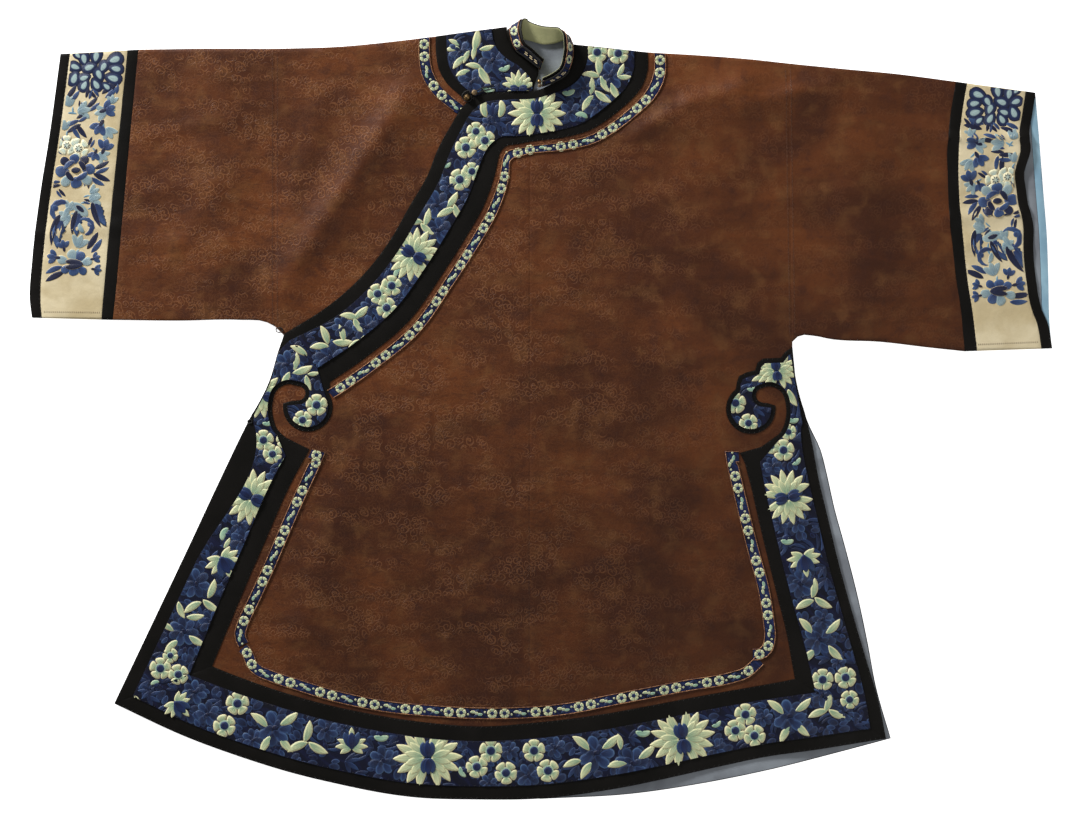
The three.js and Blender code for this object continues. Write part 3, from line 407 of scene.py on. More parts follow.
def damask(name):
    """Woven cloud curls that fade out to the right, then wear, flecks, a darkening towards the lower right and
    slanted streaks of painted fold shade.
    """
    material, tree, shader, place = dyed(name, 0.5, sheen=0.02, specular=0.12)
    wander = add(tree, "TexNoise", {"Vector": place, "Scale": 0.05, "Detail": 2.0}).outputs["Color"]
    bent = vector(tree, "ADD", place, scaled(tree, wander, 9.0))
    marks = []
    for size, turns, hand in ((11.0, 1.7, 1.0), (16.0, 1.3, -1.0)):
        cell = add(tree, "TexVoronoi", {"Vector": bent, "Scale": 1 / size, "Randomness": 0.75},
                   voronoi_dimensions="2D")
        arm = vector(tree, "SUBTRACT", bent, cell.outputs["Position"])
        x, y, _ = add(tree, "SeparateXYZ", {0: arm}).outputs
        reach = calc(tree, "SQRT", calc(tree, "ADD", times(tree, x, x), times(tree, y, y)))
        angle = times(tree, calc(tree, "ARCTAN2", y, x), hand)
        coil = calc(tree, "SINE", calc(tree, "ADD", angle, times(tree, reach, turns)))
        line = between(tree, coil, 0.35, 0.85)
        marks.append(times(tree, line, between(tree, reach, size * 0.6, size * 0.42)))
    patchy = between(tree, noise(tree, slanted(tree, place, -0.55, 0.6, 1.5), 0.024, 3.0), 0.44, 0.58)
    east, north, _ = add(tree, "SeparateXYZ", {0: place}).outputs
    plainer = between(tree, east, -80.0, 340.0, 1.25, 0.35)
    curls = times(tree, calc(tree, "MAXIMUM", *marks), calc(tree, "ADD", 0.25, patchy))
    curls = times(tree, curls, plainer)
    worn = noise(tree, place, 0.035, 5.0, 0.3)
    fleck = noise(tree, place, 0.22, 3.0)
    ground = noise(tree, slanted(tree, place, 0.0, 0.45, 1.2), 0.13, 3.0, 1.5)
    painted_fold_shade = noise(tree, slanted(tree, place, -0.9, 0.35, 1.6), 0.016, 3.0, 1.2)
    broad = between(tree, noise(tree, place, 0.0065, 4.0, 0.6), 0.35, 0.68)
    body = mixed(tree, broad, tint(60, 29, 12), tint(86, 45, 18))
    for share, strength, dye in (
            (between(tree, worn, 0.48, 0.72), 0.45, (98, 63, 33)),
            (between(tree, worn, 0.46, 0.3), 0.45, (52, 26, 17)),
            (curls, 0.3, (122, 82, 54)),
            (between(tree, fleck, 0.5, 0.75), 0.25, (46, 23, 15)),
            (times(tree, between(tree, ground, 0.5, 0.66), plainer), 0.25, (46, 22, 14))):
        body = layered(tree, share, strength, body, tint(*dye))
    # Darker towards the lower right, down to 0.58 of the colour.
    slope = calc(tree, "SUBTRACT", times(tree, east, 0.00028), times(tree, north, 0.0005))
    body = mixed(tree, between(tree, slope, -0.22, 0.3), body, scaled(tree, body, 0.58))
    # Broad slanted streaks darken the brown to 0.6 of itself: painted shade of soft folds.
    body = layered(tree, between(tree, painted_fold_shade, 0.42, 0.62), 0.42, body, scaled(tree, body, 0.6))
    gloss = calc(tree, "SUBTRACT", 0.56, times(tree, curls, 0.16))
    tree.links.new(gloss, shader.inputs["Roughness"])
    relief = calc(tree, "ADD", times(tree, curls, 0.35), times(tree, woven(tree, place, 0.9), 0.18))
    relief = calc(tree, "ADD", relief, times(tree, noise(tree, place, 0.03, 4.0, 0.5), 4.0))
    finish_cloth(tree, shader, body, relief, 0.6, 0.0006)
    return material


BROWN = damask("brown_damask")

# %% Plain-woven cloths


def plain(name, dark, light, roughness, sheen, period, specular=0.35, crumple=1.6, stripe=0.0):
    """A cloth of one dye, a little uneven, with the soft crumple of silk."""
    material, tree, shader, place = dyed(name, roughness, sheen=sheen, specular=specular)
    uneven = between(tree, noise(tree, place, 0.018, 5.0, 0.4), 0.3, 0.7)
    colour = mixed(tree, uneven, tint(*dark), tint(*light))
    darker, lighter = [c * 0.72 for c in dark], [min(255, c * 1.5) for c in light]
    colour = layered(tree, noise(tree, place, 0.9, 2.0), 0.25, colour, tint(*darker))
    if stripe:
        bars = between(tree, wave(tree, place, stripe, "DIAGONAL", 6.0), 0.55, 0.95)
        colour = layered(tree, bars, 0.3, colour, tint(*lighter))
    relief = calc(tree, "ADD", times(tree, woven(tree, place, period), 0.2),
                  times(tree, noise(tree, place, 0.05, 4.0), crumple))
    finish_cloth(tree, shader, colour, relief, 0.5, 0.0006)
    return material


BLACK = plain("black_satin", (8, 7, 5), (14, 12, 10), 0.5, 0.0, 0.7, specular=0.08)
GROUND = plain("strip_ground", (8, 9, 20), (12, 15, 36), 0.55, 0.02, 0.6, specular=0.12, stripe=9.0)
RIBBON_GROUND = plain("ribbon_ground", (9, 11, 24), (20, 28, 60), 0.55, 0.02, 0.6, specular=0.12, stripe=5.0)
IVORY = plain("ivory_silk", (168, 152, 116), (194, 181, 149), 0.5, 0.03, 0.8, crumple=3.2)
LINING = plain("lining_silk", (96, 100, 106), (122, 128, 134), 0.55, 0.05, 0.8, crumple=2.4)
FACING = plain("facing_silk", (110, 142, 160), (136, 168, 182), 0.5, 0.05, 0.8, crumple=2.0)
COLLAR_SILK = plain("collar_silk", (120, 122, 86), (156, 154, 112), 0.5, 0.05, 0.7, crumple=3.0)
CORD = plain("black_cord", (12, 11, 11), (26, 24, 23), 0.6, 0.05, 0.5, specular=0.2, crumple=0.5)

# %% Embroidery thread, couched copper thread and gilt brass


def silk_thread(name):
    """Floss: the dye is kept on the stitches, and fine ribs run along each one."""
    material, tree, shader, place = dyed(name, 0.45, sheen=0.0, specular=0.22)
    dye = add(tree, "Attribute", attribute_name="dye").outputs["Color"]
    stitch = add(tree, "Attribute", attribute_name="stitch").outputs["Vector"]
    floss = wave(tree, stitch, 0.45, "Y", 1.2)
    shade = between(tree, noise(tree, place, 0.35, 3.0), 0.3, 0.7, 0.0, 0.3)
    colour = mixed(tree, shade, dye, scaled(tree, dye, 0.62))
    colour = layered(tree, floss, 0.4, colour, scaled(tree, dye, 0.5))
    band = between(tree, wave(tree, stitch, 2.1, "Y", 2.5), 0.55, 0.95)
    colour = layered(tree, band, 0.25, colour, vector(tree, "MULTIPLY", dye, (1.6, 1.5, 1.3)))
    finish_cloth(tree, shader, colour, floss, 0.35, 0.0002)
    return material


THREAD = silk_thread("silk_floss")


def twisted(name, dark, light, metallic, roughness, period):
    material, tree, shader, place = dyed(name, roughness, metallic=metallic, specular=0.5)
    turns = wave(tree, place, period, "DIAGONAL", 2.0)
    wear = between(tree, noise(tree, place, 0.25, 3.0), 0.35, 0.65)
    colour = mixed(tree, times(tree, wear, turns), tint(*dark), tint(*light))
    finish_cloth(tree, shader, colour, turns, 0.5, 0.0003)
    return material


COPPER = twisted("copper_thread", (96, 58, 34), (190, 140, 92), 0.35, 0.42, 1.1)
SEWING = twisted("sewing_thread", (16, 15, 14), (34, 31, 28), 0.0, 0.5, 0.6)
BROWN_SEWING = twisted("brown_sewing_thread", (72, 42, 26), (98, 62, 38), 0.0, 0.5, 0.6)
GILT = twisted("gilt_brass", (58, 44, 26), (140, 112, 68), 0.8, 0.42, 4.0)
KNOT = twisted("knot_cord", (70, 56, 38), (150, 124, 84), 0.1, 0.55, 1.0)
print("materials", len(bpy.data.materials))

# %% [markdown]
# ## Cutting and laying a piece of cloth
#
# One outline becomes one cloth. A narrow ring is first marked inside its edge, because a sewn edge is
# turned under and rolls down over its own width. The piece is then sliced into a fine lattice, laid over
# the height map, and given its thickness downwards, so what lies on it keeps its own gap.

# %% Joints: lines where two cloths are sewn edge to edge
JOINTS = np.array([
    (-351, 103, -288, 37), (-584, -403, -450, -352), (472, -451, 347, -369), (-364, 493, -364, 113),
    (338, 473, 344, 92),
], float)


def to_joint(x, y, rows=JOINTS):
    """How far points lie from the nearest joint."""
    x, y = np.atleast_1d(x)[:, None], np.atleast_1d(y)[:, None]
    dx, dy = rows[:, 2] - rows[:, 0], rows[:, 3] - rows[:, 1]
    s = np.clip(((x - rows[:, 0]) * dx + (y - rows[:, 1]) * dy) / (dx ** 2 + dy ** 2), 0, 1)
    return np.min(np.hypot(x - rows[:, 0] - s * dx, y - rows[:, 1] - s * dy), axis=1)


# %% Cloth builders
ROLL = 1.3
LATTICE_SHIFT = 0.37
EDGE_SINK = 0.5
HELD_SINK = 0.08


def spots_of(bm):
    return np.array([v.co[:] for v in bm.verts])


def poured(source, target):
    """Empty one mesh in the making into another."""
    scrap = bpy.data.meshes.new("scrap")
    source.to_mesh(scrap)
    source.free()
    target.from_mesh(scrap)
    bpy.data.meshes.remove(scrap)


def sliced(outline, spacing, lines=()):
    """The flat piece as a mesh, cut by a lattice and by any extra upright lines."""
    bm = bmesh.new()
    face = bm.faces.new([bm.verts.new((x, y, 0)) for x, y in outline])
    bmesh.ops.inset_region(bm, faces=[face], thickness=ROLL, use_even_offset=True)
    for axis in (0, 1):
        low, high = outline[:, axis].min(), outline[:, axis].max()
        cuts = np.arange(math.ceil(low / spacing), math.ceil(high / spacing)) * spacing + LATTICE_SHIFT
        for value in [*cuts, *(lines if axis == 0 else ())]:
            place, normal = [0.0, 0.0, 0.0], [0.0, 0.0, 0.0]
            place[axis], normal[axis] = value, 1.0
            bmesh.ops.bisect_plane(bm, geom=bm.verts[:] + bm.edges[:] + bm.faces[:], dist=0.25,
                                   plane_co=place, plane_no=normal)
    return bm


def laid(bm, height, level):
    """Rest the flat mesh on the map at this level; its edge sinks a little. Returns the edge's vertices."""
    bm.verts.ensure_lookup_table()
    spots = spots_of(bm)
    tops = height(spots[:, 0], spots[:, 1]) + level + CLOTH
    rim = [v for v in bm.verts if v.is_boundary]
    for v, z in zip(bm.verts, tops):
        v.co.z = z
    if rim:
        sewn_edge = to_joint([v.co.x for v in rim], [v.co.y for v in rim]) < 1.6
        for v, held in zip(rim, sewn_edge):
            v.co.z -= HELD_SINK if held else EDGE_SINK
    return rim


def along_line(bm, line, reach=0.7):
    """Open edges of the mesh that lie on this line, seen from above."""
    line = np.array(line, float)[:, :2]
    a, b = line[:-1], line[1:]
    found = []
    for edge in bm.edges:
        if edge.is_boundary:
            near = []
            for v in edge.verts:
                p = np.array(v.co[:2])
                s = np.clip(np.sum((p - a) * (b - a), axis=1) / np.sum((b - a) ** 2, axis=1), 0, 1)
                near.append(np.min(np.hypot(*(p - a - s[:, None] * (b - a)).T)))
            if max(near) < reach:
                found.append(edge)
    return found


def folded_down(bm, line):
    """Turn the cloth down over a folded edge as far as the floor."""
    for v in bmesh.ops.extrude_edge_only(bm, edges=along_line(bm, line))["geom"]:
        if isinstance(v, bmesh.types.BMVert):
            v.co.z = 0.0


def trimmed(bm, outline, grow=0.3):
    """Take away what lies inside an outline, cutting exactly along its edge."""
    a, b = outline, np.roll(outline, -1, axis=0)
    xs = [v.co.x for v in bm.verts]
    ys = [v.co.y for v in bm.verts]
    for (ax, ay), (bx, by) in zip(a, b):
        mx, my, half = (ax + bx) / 2, (ay + by) / 2, math.hypot(bx - ax, by - ay) / 2 + 14
        if not (min(xs) - half < mx < max(xs) + half and min(ys) - half < my < max(ys) + half):
            continue
        middles = [(f, f.calc_center_median()) for f in bm.faces]
        near = [f for f, middle in middles if math.hypot(middle.x - mx, middle.y - my) < half]
        edges = {e for f in near for e in f.edges}
        verts = {v for f in near for v in f.verts}
        if near:
            way = np.array([by - ay, ax - bx]) / math.hypot(bx - ax, by - ay)
            bmesh.ops.bisect_plane(bm, geom=[*verts, *edges, *near], dist=0.05, plane_no=(*way, 0),
                                   plane_co=(ax + way[0] * grow, ay + way[1] * grow, 0))
    centres = np.array([f.calc_center_median()[:] for f in bm.faces])
    gone = inside(drawn_in(outline, -grow), centres[:, 0], centres[:, 1])
    bmesh.ops.delete(bm, geom=[f for f, out in zip(bm.faces[:], gone) if out], context="FACES")


def finished(bm, name, material, node=None, thickness=CLOTH, rim=(), up=True):
    """A mesh in metres that rides with the robe, thickened inwards, and thinner at its rolled edge."""
    thin = [v.index for v in rim if v.is_valid and v.is_boundary]
    bmesh.ops.scale(bm, vec=(MM, MM, MM), verts=bm.verts[:])
    if up is not None:
        bmesh.ops.recalc_face_normals(bm, faces=bm.faces[:])
        if (sum(f.normal.z * f.calc_area() for f in bm.faces) > 0) != up:
            bmesh.ops.reverse_faces(bm, faces=bm.faces[:])
    mesh = bpy.data.meshes.new(name)
    bm.to_mesh(mesh)
    bm.free()
    mesh.polygons.foreach_set("use_smooth", [True] * len(mesh.polygons))
    obj = bpy.data.objects.new(name, mesh)
    bpy.context.collection.objects.link(obj)
    mesh.materials.append(material)
    if thickness:
        body = obj.vertex_groups.new(name="body")
        body.add(list(range(len(mesh.vertices))), 1.0, "REPLACE")
        if thin:
            body.add(thin, (thickness - EDGE_SINK) / thickness, "REPLACE")
        solid = obj.modifiers.new("thickness", "SOLIDIFY")
        solid.thickness = thickness * MM
        solid.offset = -1
        solid.vertex_group = "body"
        obj.modifiers.new("shading", "WEIGHTED_NORMAL")
    return placed(obj, node)


def placed(obj, node=None):
    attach(obj, "root")
    if node:
        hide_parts(node)
    return obj


def declared(obj):
    """Return the cloth as it is."""
    return obj


def extent(outline):
    return np.ptp(outline[:, 0]), np.ptp(outline[:, 1])


def panel(name, outline, height, level, material, spacing=7.0, size=None, trim=None):
    """Cut, lay and finish one flat piece that stands for the solid of the same name."""
    bm = sliced(outline, spacing)
    if trim is not None:
        trimmed(bm, trim)
    bm.verts.index_update()
    rim = laid(bm, height, level)
    obj = finished(bm, name + "_cloth", material, name, rim=rim)
    return declared(obj)


# %% [markdown]
# ## Back and lining
#
# The back lies under everything with its underside on the floor. It shows only inside the neck and past
# the front at the right side, where its grey-blue lining looks out, so it is cut plain and flat. Its brown
# silk stops at a narrow black binding that follows the sides and the hem.

# %% Back, binding and lining
edge_left = across(bands["side_left"], 0)
edge_hem = across(bands["hem"], 0)
edge_right = across(bands["side_right"], 0)
side_right = smooth(BACK_SIDE_RIGHT, 12)
hem_right = smooth([*BACK_SIDE_RIGHT[-1:], *BACK_HEM_RIGHT], 15)
shoulder_left = smooth(SHOULDER_LEFT, 12)
shoulder_right = smooth(SHOULDER_RIGHT, 12)
under_collar = [(x, y + 8) for x, y in BACK_NECK[::-1]]
back_run = joined(edge_left[4:], edge_hem[edge_hem[:, 0] < 0], hem_right[::-1], side_right[::-1][:-3])
back_run = back_run if back_run[0, 1] > back_run[-1, 1] - 60 and back_run[0, 0] < 0 else back_run[::-1]
start = int(np.argmin(np.hypot(back_run[:, 0] - edge_left[4, 0], back_run[:, 1] - edge_left[4, 1])))
back_run = np.roll(back_run, -start, axis=0)
inner_run = offset(back_run, 19)
top_run = [
    side_right[:3][::-1], [(338, 471.4)], offset(shoulder_right, -1.6)[1:-1][::-1], [(45, 495)],
    under_collar, [(-44, 518)], offset(shoulder_left, 1.6)[1:-1], [(-364, 491.4)], edge_left[:4]]
back_outline = joined(back_run, *top_run)
binding = joined(back_run, inner_run[::-1])
brown_back = joined(inner_run, *top_run)
lining_cut = drawn_in(back_outline, 1.2)
panel("back_binding", binding, flat_height, 0, BLACK, 20,
      size=(20, length(back_run)))
panel("back_body", brown_back, flat_height, 0, BROWN, 30)
panel("back_lining", lining_cut, flat_height, PLY, LINING, 20)
print("back", [round(a) for a in extent(back_outline)], "mm")

# %% [markdown]
# ## Fronts
#
# The hidden front is sewn to the left shoulder and side; the outer front comes from the right shoulder,
# crosses over it and closes under the left arm. Both turn down over the shoulder fold. A seam runs down
# the middle of the outer front, where two loom widths meet, and it shows as a fine groove.

# %% Hidden front and outer front
SEAM_X = -15.0
neck_edge = across(bands["neck_left"], 0)
front_outline = joined(
    across(bands["lapel"], 0), edge_left[1:], edge_hem[1:], edge_right[1:],
    [(353, 20), (348, 45), (344, 77), (344, 92), (338, 473)], shoulder_right[1:-1][::-1])
under_outline = joined(
    neck_edge[neck_edge[:, 1] > 464], [(-3, 462)], UNDER_HIDDEN,
    [(-390, -66), (-392, -14), (-384, 5), (-368, 40), (-357, 81), (-352, 101)],
    [(-364, 113), (-364, 493)], shoulder_left[1:-1][::-1])


def front_with_seam(x, y):
    groove = 0.55 * np.exp(-((x - SEAM_X) / 1.1) ** 2) * (y < 360) * (y > -434)
    return front_height(x, y) - groove


def front(name, outline, height, level, fold, lines=()):
    bm = sliced(outline, 6.5, lines)
    bm.verts.index_update()
    rim = laid(bm, height, level)
    folded_down(bm, fold)
    bm.verts.index_update()
    obj = finished(bm, name + "_cloth", BROWN, name, rim=rim)
    return declared(obj)


front("front_under", under_outline, under_height, 0, shoulder_left)
front("front_outer", front_outline, front_with_seam, 0, shoulder_right,
      [SEAM_X - 2.4, SEAM_X - 1.1, SEAM_X, SEAM_X + 1.1, SEAM_X + 2.4])
print("outer front", [round(a) for a in extent(front_outline)], "mm")

# %% [markdown]
# ## Sleeves and cuffs
#
# Each sleeve is a flat tube, front and back joined along the top fold and the underarm. The wide cuff is a
# continuation of it: a black band at the seam, an ivory band for embroidery and a black edge at the hand.
# At the right hand the back of the cuff lies further out, so its facing and lining look out of the mouth.

# %% Tubes


def tube(name, over, under, folds, material, spacing=6.5):
    bm = sliced(over, spacing)
    rim = laid(bm, under_height, 0)
    for fold in folds:
        folded_down(bm, fold)
    lower = sliced(under, spacing)
    bmesh.ops.reverse_faces(lower, faces=lower.faces[:])
    poured(lower, bm)
    bmesh.ops.remove_doubles(bm, verts=bm.verts[:], dist=0.12)
    bm.verts.index_update()
    rim = [v for v in rim if v.is_valid and v.is_boundary and v.co.z > CLOTH]
    obj = finished(bm, name + "_cloth", material, name, rim=rim, up=None)
    wide, long = extent(over)
    long, cut = 2 * max(wide, long), abs(area(over)) + abs(area(under))
    return declared(obj)


cuff_left = smooth(CUFF_LEFT, 9, True)
cuff_right = smooth(CUFF_RIGHT, 9, True)
cuff_right_back = smooth(CUFF_RIGHT_BACK, 9, True)
top_left, top_right = smooth(SLEEVE_TOP_LEFT, 12), smooth(SLEEVE_TOP_RIGHT, 12)
low_left, low_right = smooth(SLEEVE_UNDER_LEFT, 12), smooth(SLEEVE_UNDER_RIGHT, 10)
sleeve_left = joined(top_left, across(cuff_left, 1.0)[1:-1], low_left)
tube("sleeve_left", sleeve_left, sleeve_left, [top_left, low_left], BROWN)
sleeve_right = joined(top_right, across(cuff_right, 1.0)[1:-1], low_right)
sleeve_right_back = joined(top_right, across(cuff_right_back, 1.0)[1:-1], low_right)
tube("sleeve_right", sleeve_right, sleeve_right_back, [top_right, low_right], BROWN)
CUFF_PARTS = [
    ("cuff_edge", 0.002, 0.1253, BLACK, "black_satin"), ("cuff_panel", 0.1257, 0.8593, IVORY, "ivory_silk"),
    ("cuff_band", 0.8597, 0.9997, BLACK, "black_satin"),
]
for side, rows, backs in (("left", cuff_left, cuff_left), ("right", cuff_right, cuff_right_back)):
    for part, near, far, material, slot in CUFF_PARTS:
        ends = [(across(rows, near)[i], across(rows, far)[i]) for i in (0, -1)]
        tube(f"{part}_{side}", slab(rows, near, far), slab(backs, near, far), ends, material, 7.0)
for part, near, far, material, slot in (
        ("cuff_facing_right", 0.004, 0.082, FACING, "facing_silk"),
        ("cuff_lining_right", 0.085, 0.79, LINING, "lining_silk")):
    panel(part, slab(cuff_right_back[1:-1], near, far), flat_height, PLY, material, 12)

# %% [markdown]
# ## Black borders, cloud heads and blue strips
#
# The border runs round the neck, down the lapel, down both sides and along the hem. At the top of each
# side it ends in a cloud head: a round lobe with a brown channel curling about it, as in carved screens.
# Each band is cut as one outline, so the curl is a real opening that the brown silk fills.

# %% Outlines of the borders and strips
LEFT_X, LEFT_Y, RIGHT_X, RIGHT_Y = -319, 3, 287, 0


def channel(cx, cy, side, inner):
    rows = np.array(CHANNEL, float)
    line = rows[:, 0:2] if inner else rows[:, 2:4]
    return smooth(line * (side, 1) + (cx, cy), 5)


def lie_of(name):
    """Height map of a band, the cloth under it, and the outline that covers a part of it."""
    if name == "neck_left":
        return under_height, "front_under_cloth", front_outline
    return front_height, "front_outer_cloth", None


def strip_line(name, column):
    return across(bands[name], bands[name][:, column])


inner_left = across(bands["side_left"], 1)
inner_right = across(bands["side_right"], 1)
left_border = joined(
    edge_left, inner_left[inner_left[:, 1] < -60][::-1], [(-317, -55)],
    channel(LEFT_X, LEFT_Y, -1, False)[::-1], arc(-332, 21.7, 9.7, 85, -85, 12),
    channel(LEFT_X, LEFT_Y, -1, True)[:3], arc(LEFT_X, LEFT_Y, 34, 172, 393, 30), [(-288, 37)])
right_border = joined(
    edge_right[:-1], CLOUD_TOP_RIGHT, arc(RIGHT_X, RIGHT_Y, 34, 128, 368, 30),
    channel(RIGHT_X, RIGHT_Y, 1, True)[1:3][::-1], arc(304, 18.7, 9.9, 265, 95, 12),
    channel(RIGHT_X, RIGHT_Y, 1, False)[1:-2], [(301, -52), (272, -60)],
    inner_right[inner_right[:, 1] < -75][::-1])
strip_out_left, strip_in_left = strip_line("side_left", 4), strip_line("side_left", 5)
left_strip = joined(
    strip_out_left, strip_in_left[strip_in_left[:, 1] < -58][::-1],
    offset(channel(LEFT_X, LEFT_Y, -1, False), -5.5)[1:-2][::-1], arc(-332, 21.7, 15.4, 85, -75, 12),
    arc(LEFT_X, LEFT_Y, 28, 176, 384, 26), [(-297, 26), (-301, 40), (-305.6, 55.5)])
strip_out_right, strip_in_right = strip_line("side_right", 4), strip_line("side_right", 5)
right_strip = joined(
    strip_out_right[:-2], [(358, -20), (355, -2), (351, 20), (346.5, 45), (342, 76), (337, 72), (331, 64),
                           (306, 63), (301, 58), (298, 48), (283, 44), (276, 41), (273, 34)],
    arc(RIGHT_X, RIGHT_Y, 28, 122, 364, 26), arc(304, 18.7, 15.4, 255, 95, 12),
    offset(channel(RIGHT_X, RIGHT_Y, 1, False), 5.5)[1:-1], strip_in_right[strip_in_right[:, 1] < -66][::-1])
BORDERS = {name: slab(rows, 0, 1) for name, rows in bands.items()}
OUTLINES = {name: slab(rows, rows[:, 4], rows[:, 5]) for name, rows in bands.items()}
BORDERS.update(side_left=left_border, side_right=right_border)
OUTLINES.update(side_left=left_strip, side_right=right_strip)

# %% Cut them: a cloud head takes a longer cut of cloth than its middle line
for name, rows in bands.items():
    height, below, cover = lie_of(name)
    long = length((rows[:, 0:2] + rows[:, 2:4]) / 2) * (1.35 if name.startswith("side") else 1.02)
    wide = float(np.max(np.hypot(*(rows[:, 0:2] - rows[:, 2:4]).T)))
    part = float(np.mean(rows[:, 5] - rows[:, 4]))
    panel("border_" + name, BORDERS[name], height, PLY, BLACK,
          size=(wide * 1.02, long), trim=cover)
    panel("strip_" + name, OUTLINES[name], height, 2 * PLY, GROUND,
          size=(wide * max(part, 0.6) * 1.1, long), trim=cover)
print("borders and strips cut")

# %% [markdown]
# ## Flower ribbons
#
# A woven ribbon 16 mm wide runs on the brown silk beside every border, with a copper thread couched along
# each of its edges. The thread is a thin round cord laid on the ribbon, so it catches the light.

# %% Ribbons and their edge threads


def strands(name, lines, radius, material, closed=False, sides=1):
    """Round threads along lines of points in millimetres, as one piece."""
    curve = bpy.data.curves.new(name, "CURVE")
    curve.dimensions = "3D"
    curve.bevel_depth = radius * MM
    curve.bevel_resolution = sides
    curve.use_fill_caps = True
    for line in lines:
        spline = curve.splines.new("POLY")
        spline.points.add(len(line) - 1)
        spline.points.foreach_set("co", np.concatenate(
            [np.array(line, float) * MM, np.ones((len(line), 1))], axis=1).ravel())
        spline.use_cyclic_u = closed
    curve.materials.append(material)
    obj = bpy.data.objects.new(name, curve)
    bpy.context.collection.objects.link(obj)
    return placed(obj, None)


def lifted(line, height, level):
    line = np.array(line, float)[:, :2]
    return np.column_stack([line, height(line[:, 0], line[:, 1]) + level])


HALF_RIBBON = 8
SIDE_LIFT = 0.3


def ribbon_level(name):
    """The side ribbons lie a little higher, over the ends of the ribbons they meet."""
    return PLY + (SIDE_LIFT if name.startswith("side") else 0.0)


lapel_rows = np.vstack([bands["lapel"], [(-361, 97, -298, 31, 0, 1)]])
RIBBONS = {name: (across(rows, 1.08), across(rows, 1.24))
           for name, rows in (("neck_left", bands["neck_left"]), ("lapel", lapel_rows))}
for name, marks in (("side_left", RIBBON_SIDE_LEFT), ("hem", RIBBON_HEM), ("side_right", RIBBON_SIDE_RIGHT)):
    centre = smooth(marks, 8)
    RIBBONS[name] = offset(centre, -HALF_RIBBON), offset(centre, HALF_RIBBON)
west, east = RIBBONS["side_left"]
RIBBONS["side_left"] = (np.vstack([[(-319, -67.5), (-308, -70)], west[2:]]),
                        np.vstack([[(-312.4, -54.1), (-294.5, -58.8)], east[2:]]))
east, west = RIBBONS["side_right"]
RIBBONS["side_right"] = (np.vstack([east[:-2], [(267, -73), (271, -73)]]),
                         np.vstack([west[:-2], [(251, -57.5), (270, -57.5)]]))
for name, (one, two) in RIBBONS.items():
    (height, below, cover), level = lie_of(name), ribbon_level(name)
    panel("ribbon_" + name, joined(one, two[::-1]), height, level, RIBBON_GROUND,
          size=(18.5, length((one + two) / 2) * 1.04), trim=cover)
    edges = [one + (two - one) * 0.045, one + (two - one) * 0.955]
    if cover is not None:
        edges = [line[~inside(cover, line[:, 0], line[:, 1])] for line in edges]
    strands(f"ribbon_{name}_threads", [lifted(line, height, level + CLOTH + 0.1) for line in edges], 0.55,
            COPPER)
print("ribbons", [round(length(a)) for a, b in RIBBONS.values()], "mm long")

# %% [markdown]
# ## Embroidery patterns
#
# Satin stitch lies as a low cushion with a clear outline, so every petal here is a small raised form: a
# disc drawn out to the petal's shape, lifted off the cloth, then stepped in twice so that the dye can run
# from a pale outline to a dark heart, as the stitcher shades it. Flowers, leaves and buds are sets of
# petals. Each is made once and then sewn in many places.

# %% One petal
CREAM = [(230, 217, 178), (186, 182, 142), (190, 189, 148), (116, 140, 114)]
GREEN = [(198, 206, 168), (146, 166, 138), (150, 170, 144), (104, 138, 122)]
BLUE = [(66, 92, 126), (34, 50, 82), (36, 55, 90), (17, 27, 56)]
MID = [(42, 60, 90), (20, 31, 58), (24, 38, 68), (11, 17, 40)]
DEEP = [(32, 50, 88), (15, 24, 54), (16, 26, 58), (8, 10, 30)]
RING = [(164, 180, 152), (146, 164, 140), (130, 152, 134), (102, 130, 120)]
HEART = [(46, 72, 118), (24, 42, 82), (22, 38, 78), (10, 17, 46)]
NAVY = [(40, 46, 84), (26, 32, 70), (20, 26, 64), (10, 14, 42)]
PALE = [(180, 188, 170), (136, 158, 158), (118, 146, 156), (84, 116, 140)]
LOOP = [(22, 28, 54), (17, 22, 46), (27, 40, 74), (138, 158, 158)]
BLOSSOM = [(218, 206, 168), (196, 192, 160), (206, 200, 166), (156, 176, 170)]
VOIDED = [(190, 172, 128), (184, 166, 124), (56, 78, 114), (30, 43, 78)]
VOIDED_DARK = [(190, 172, 128), (184, 166, 124), (28, 34, 60), (17, 20, 42)]
VOIDED_PALE = [(190, 172, 128), (184, 166, 124), (134, 150, 150), (100, 122, 134)]


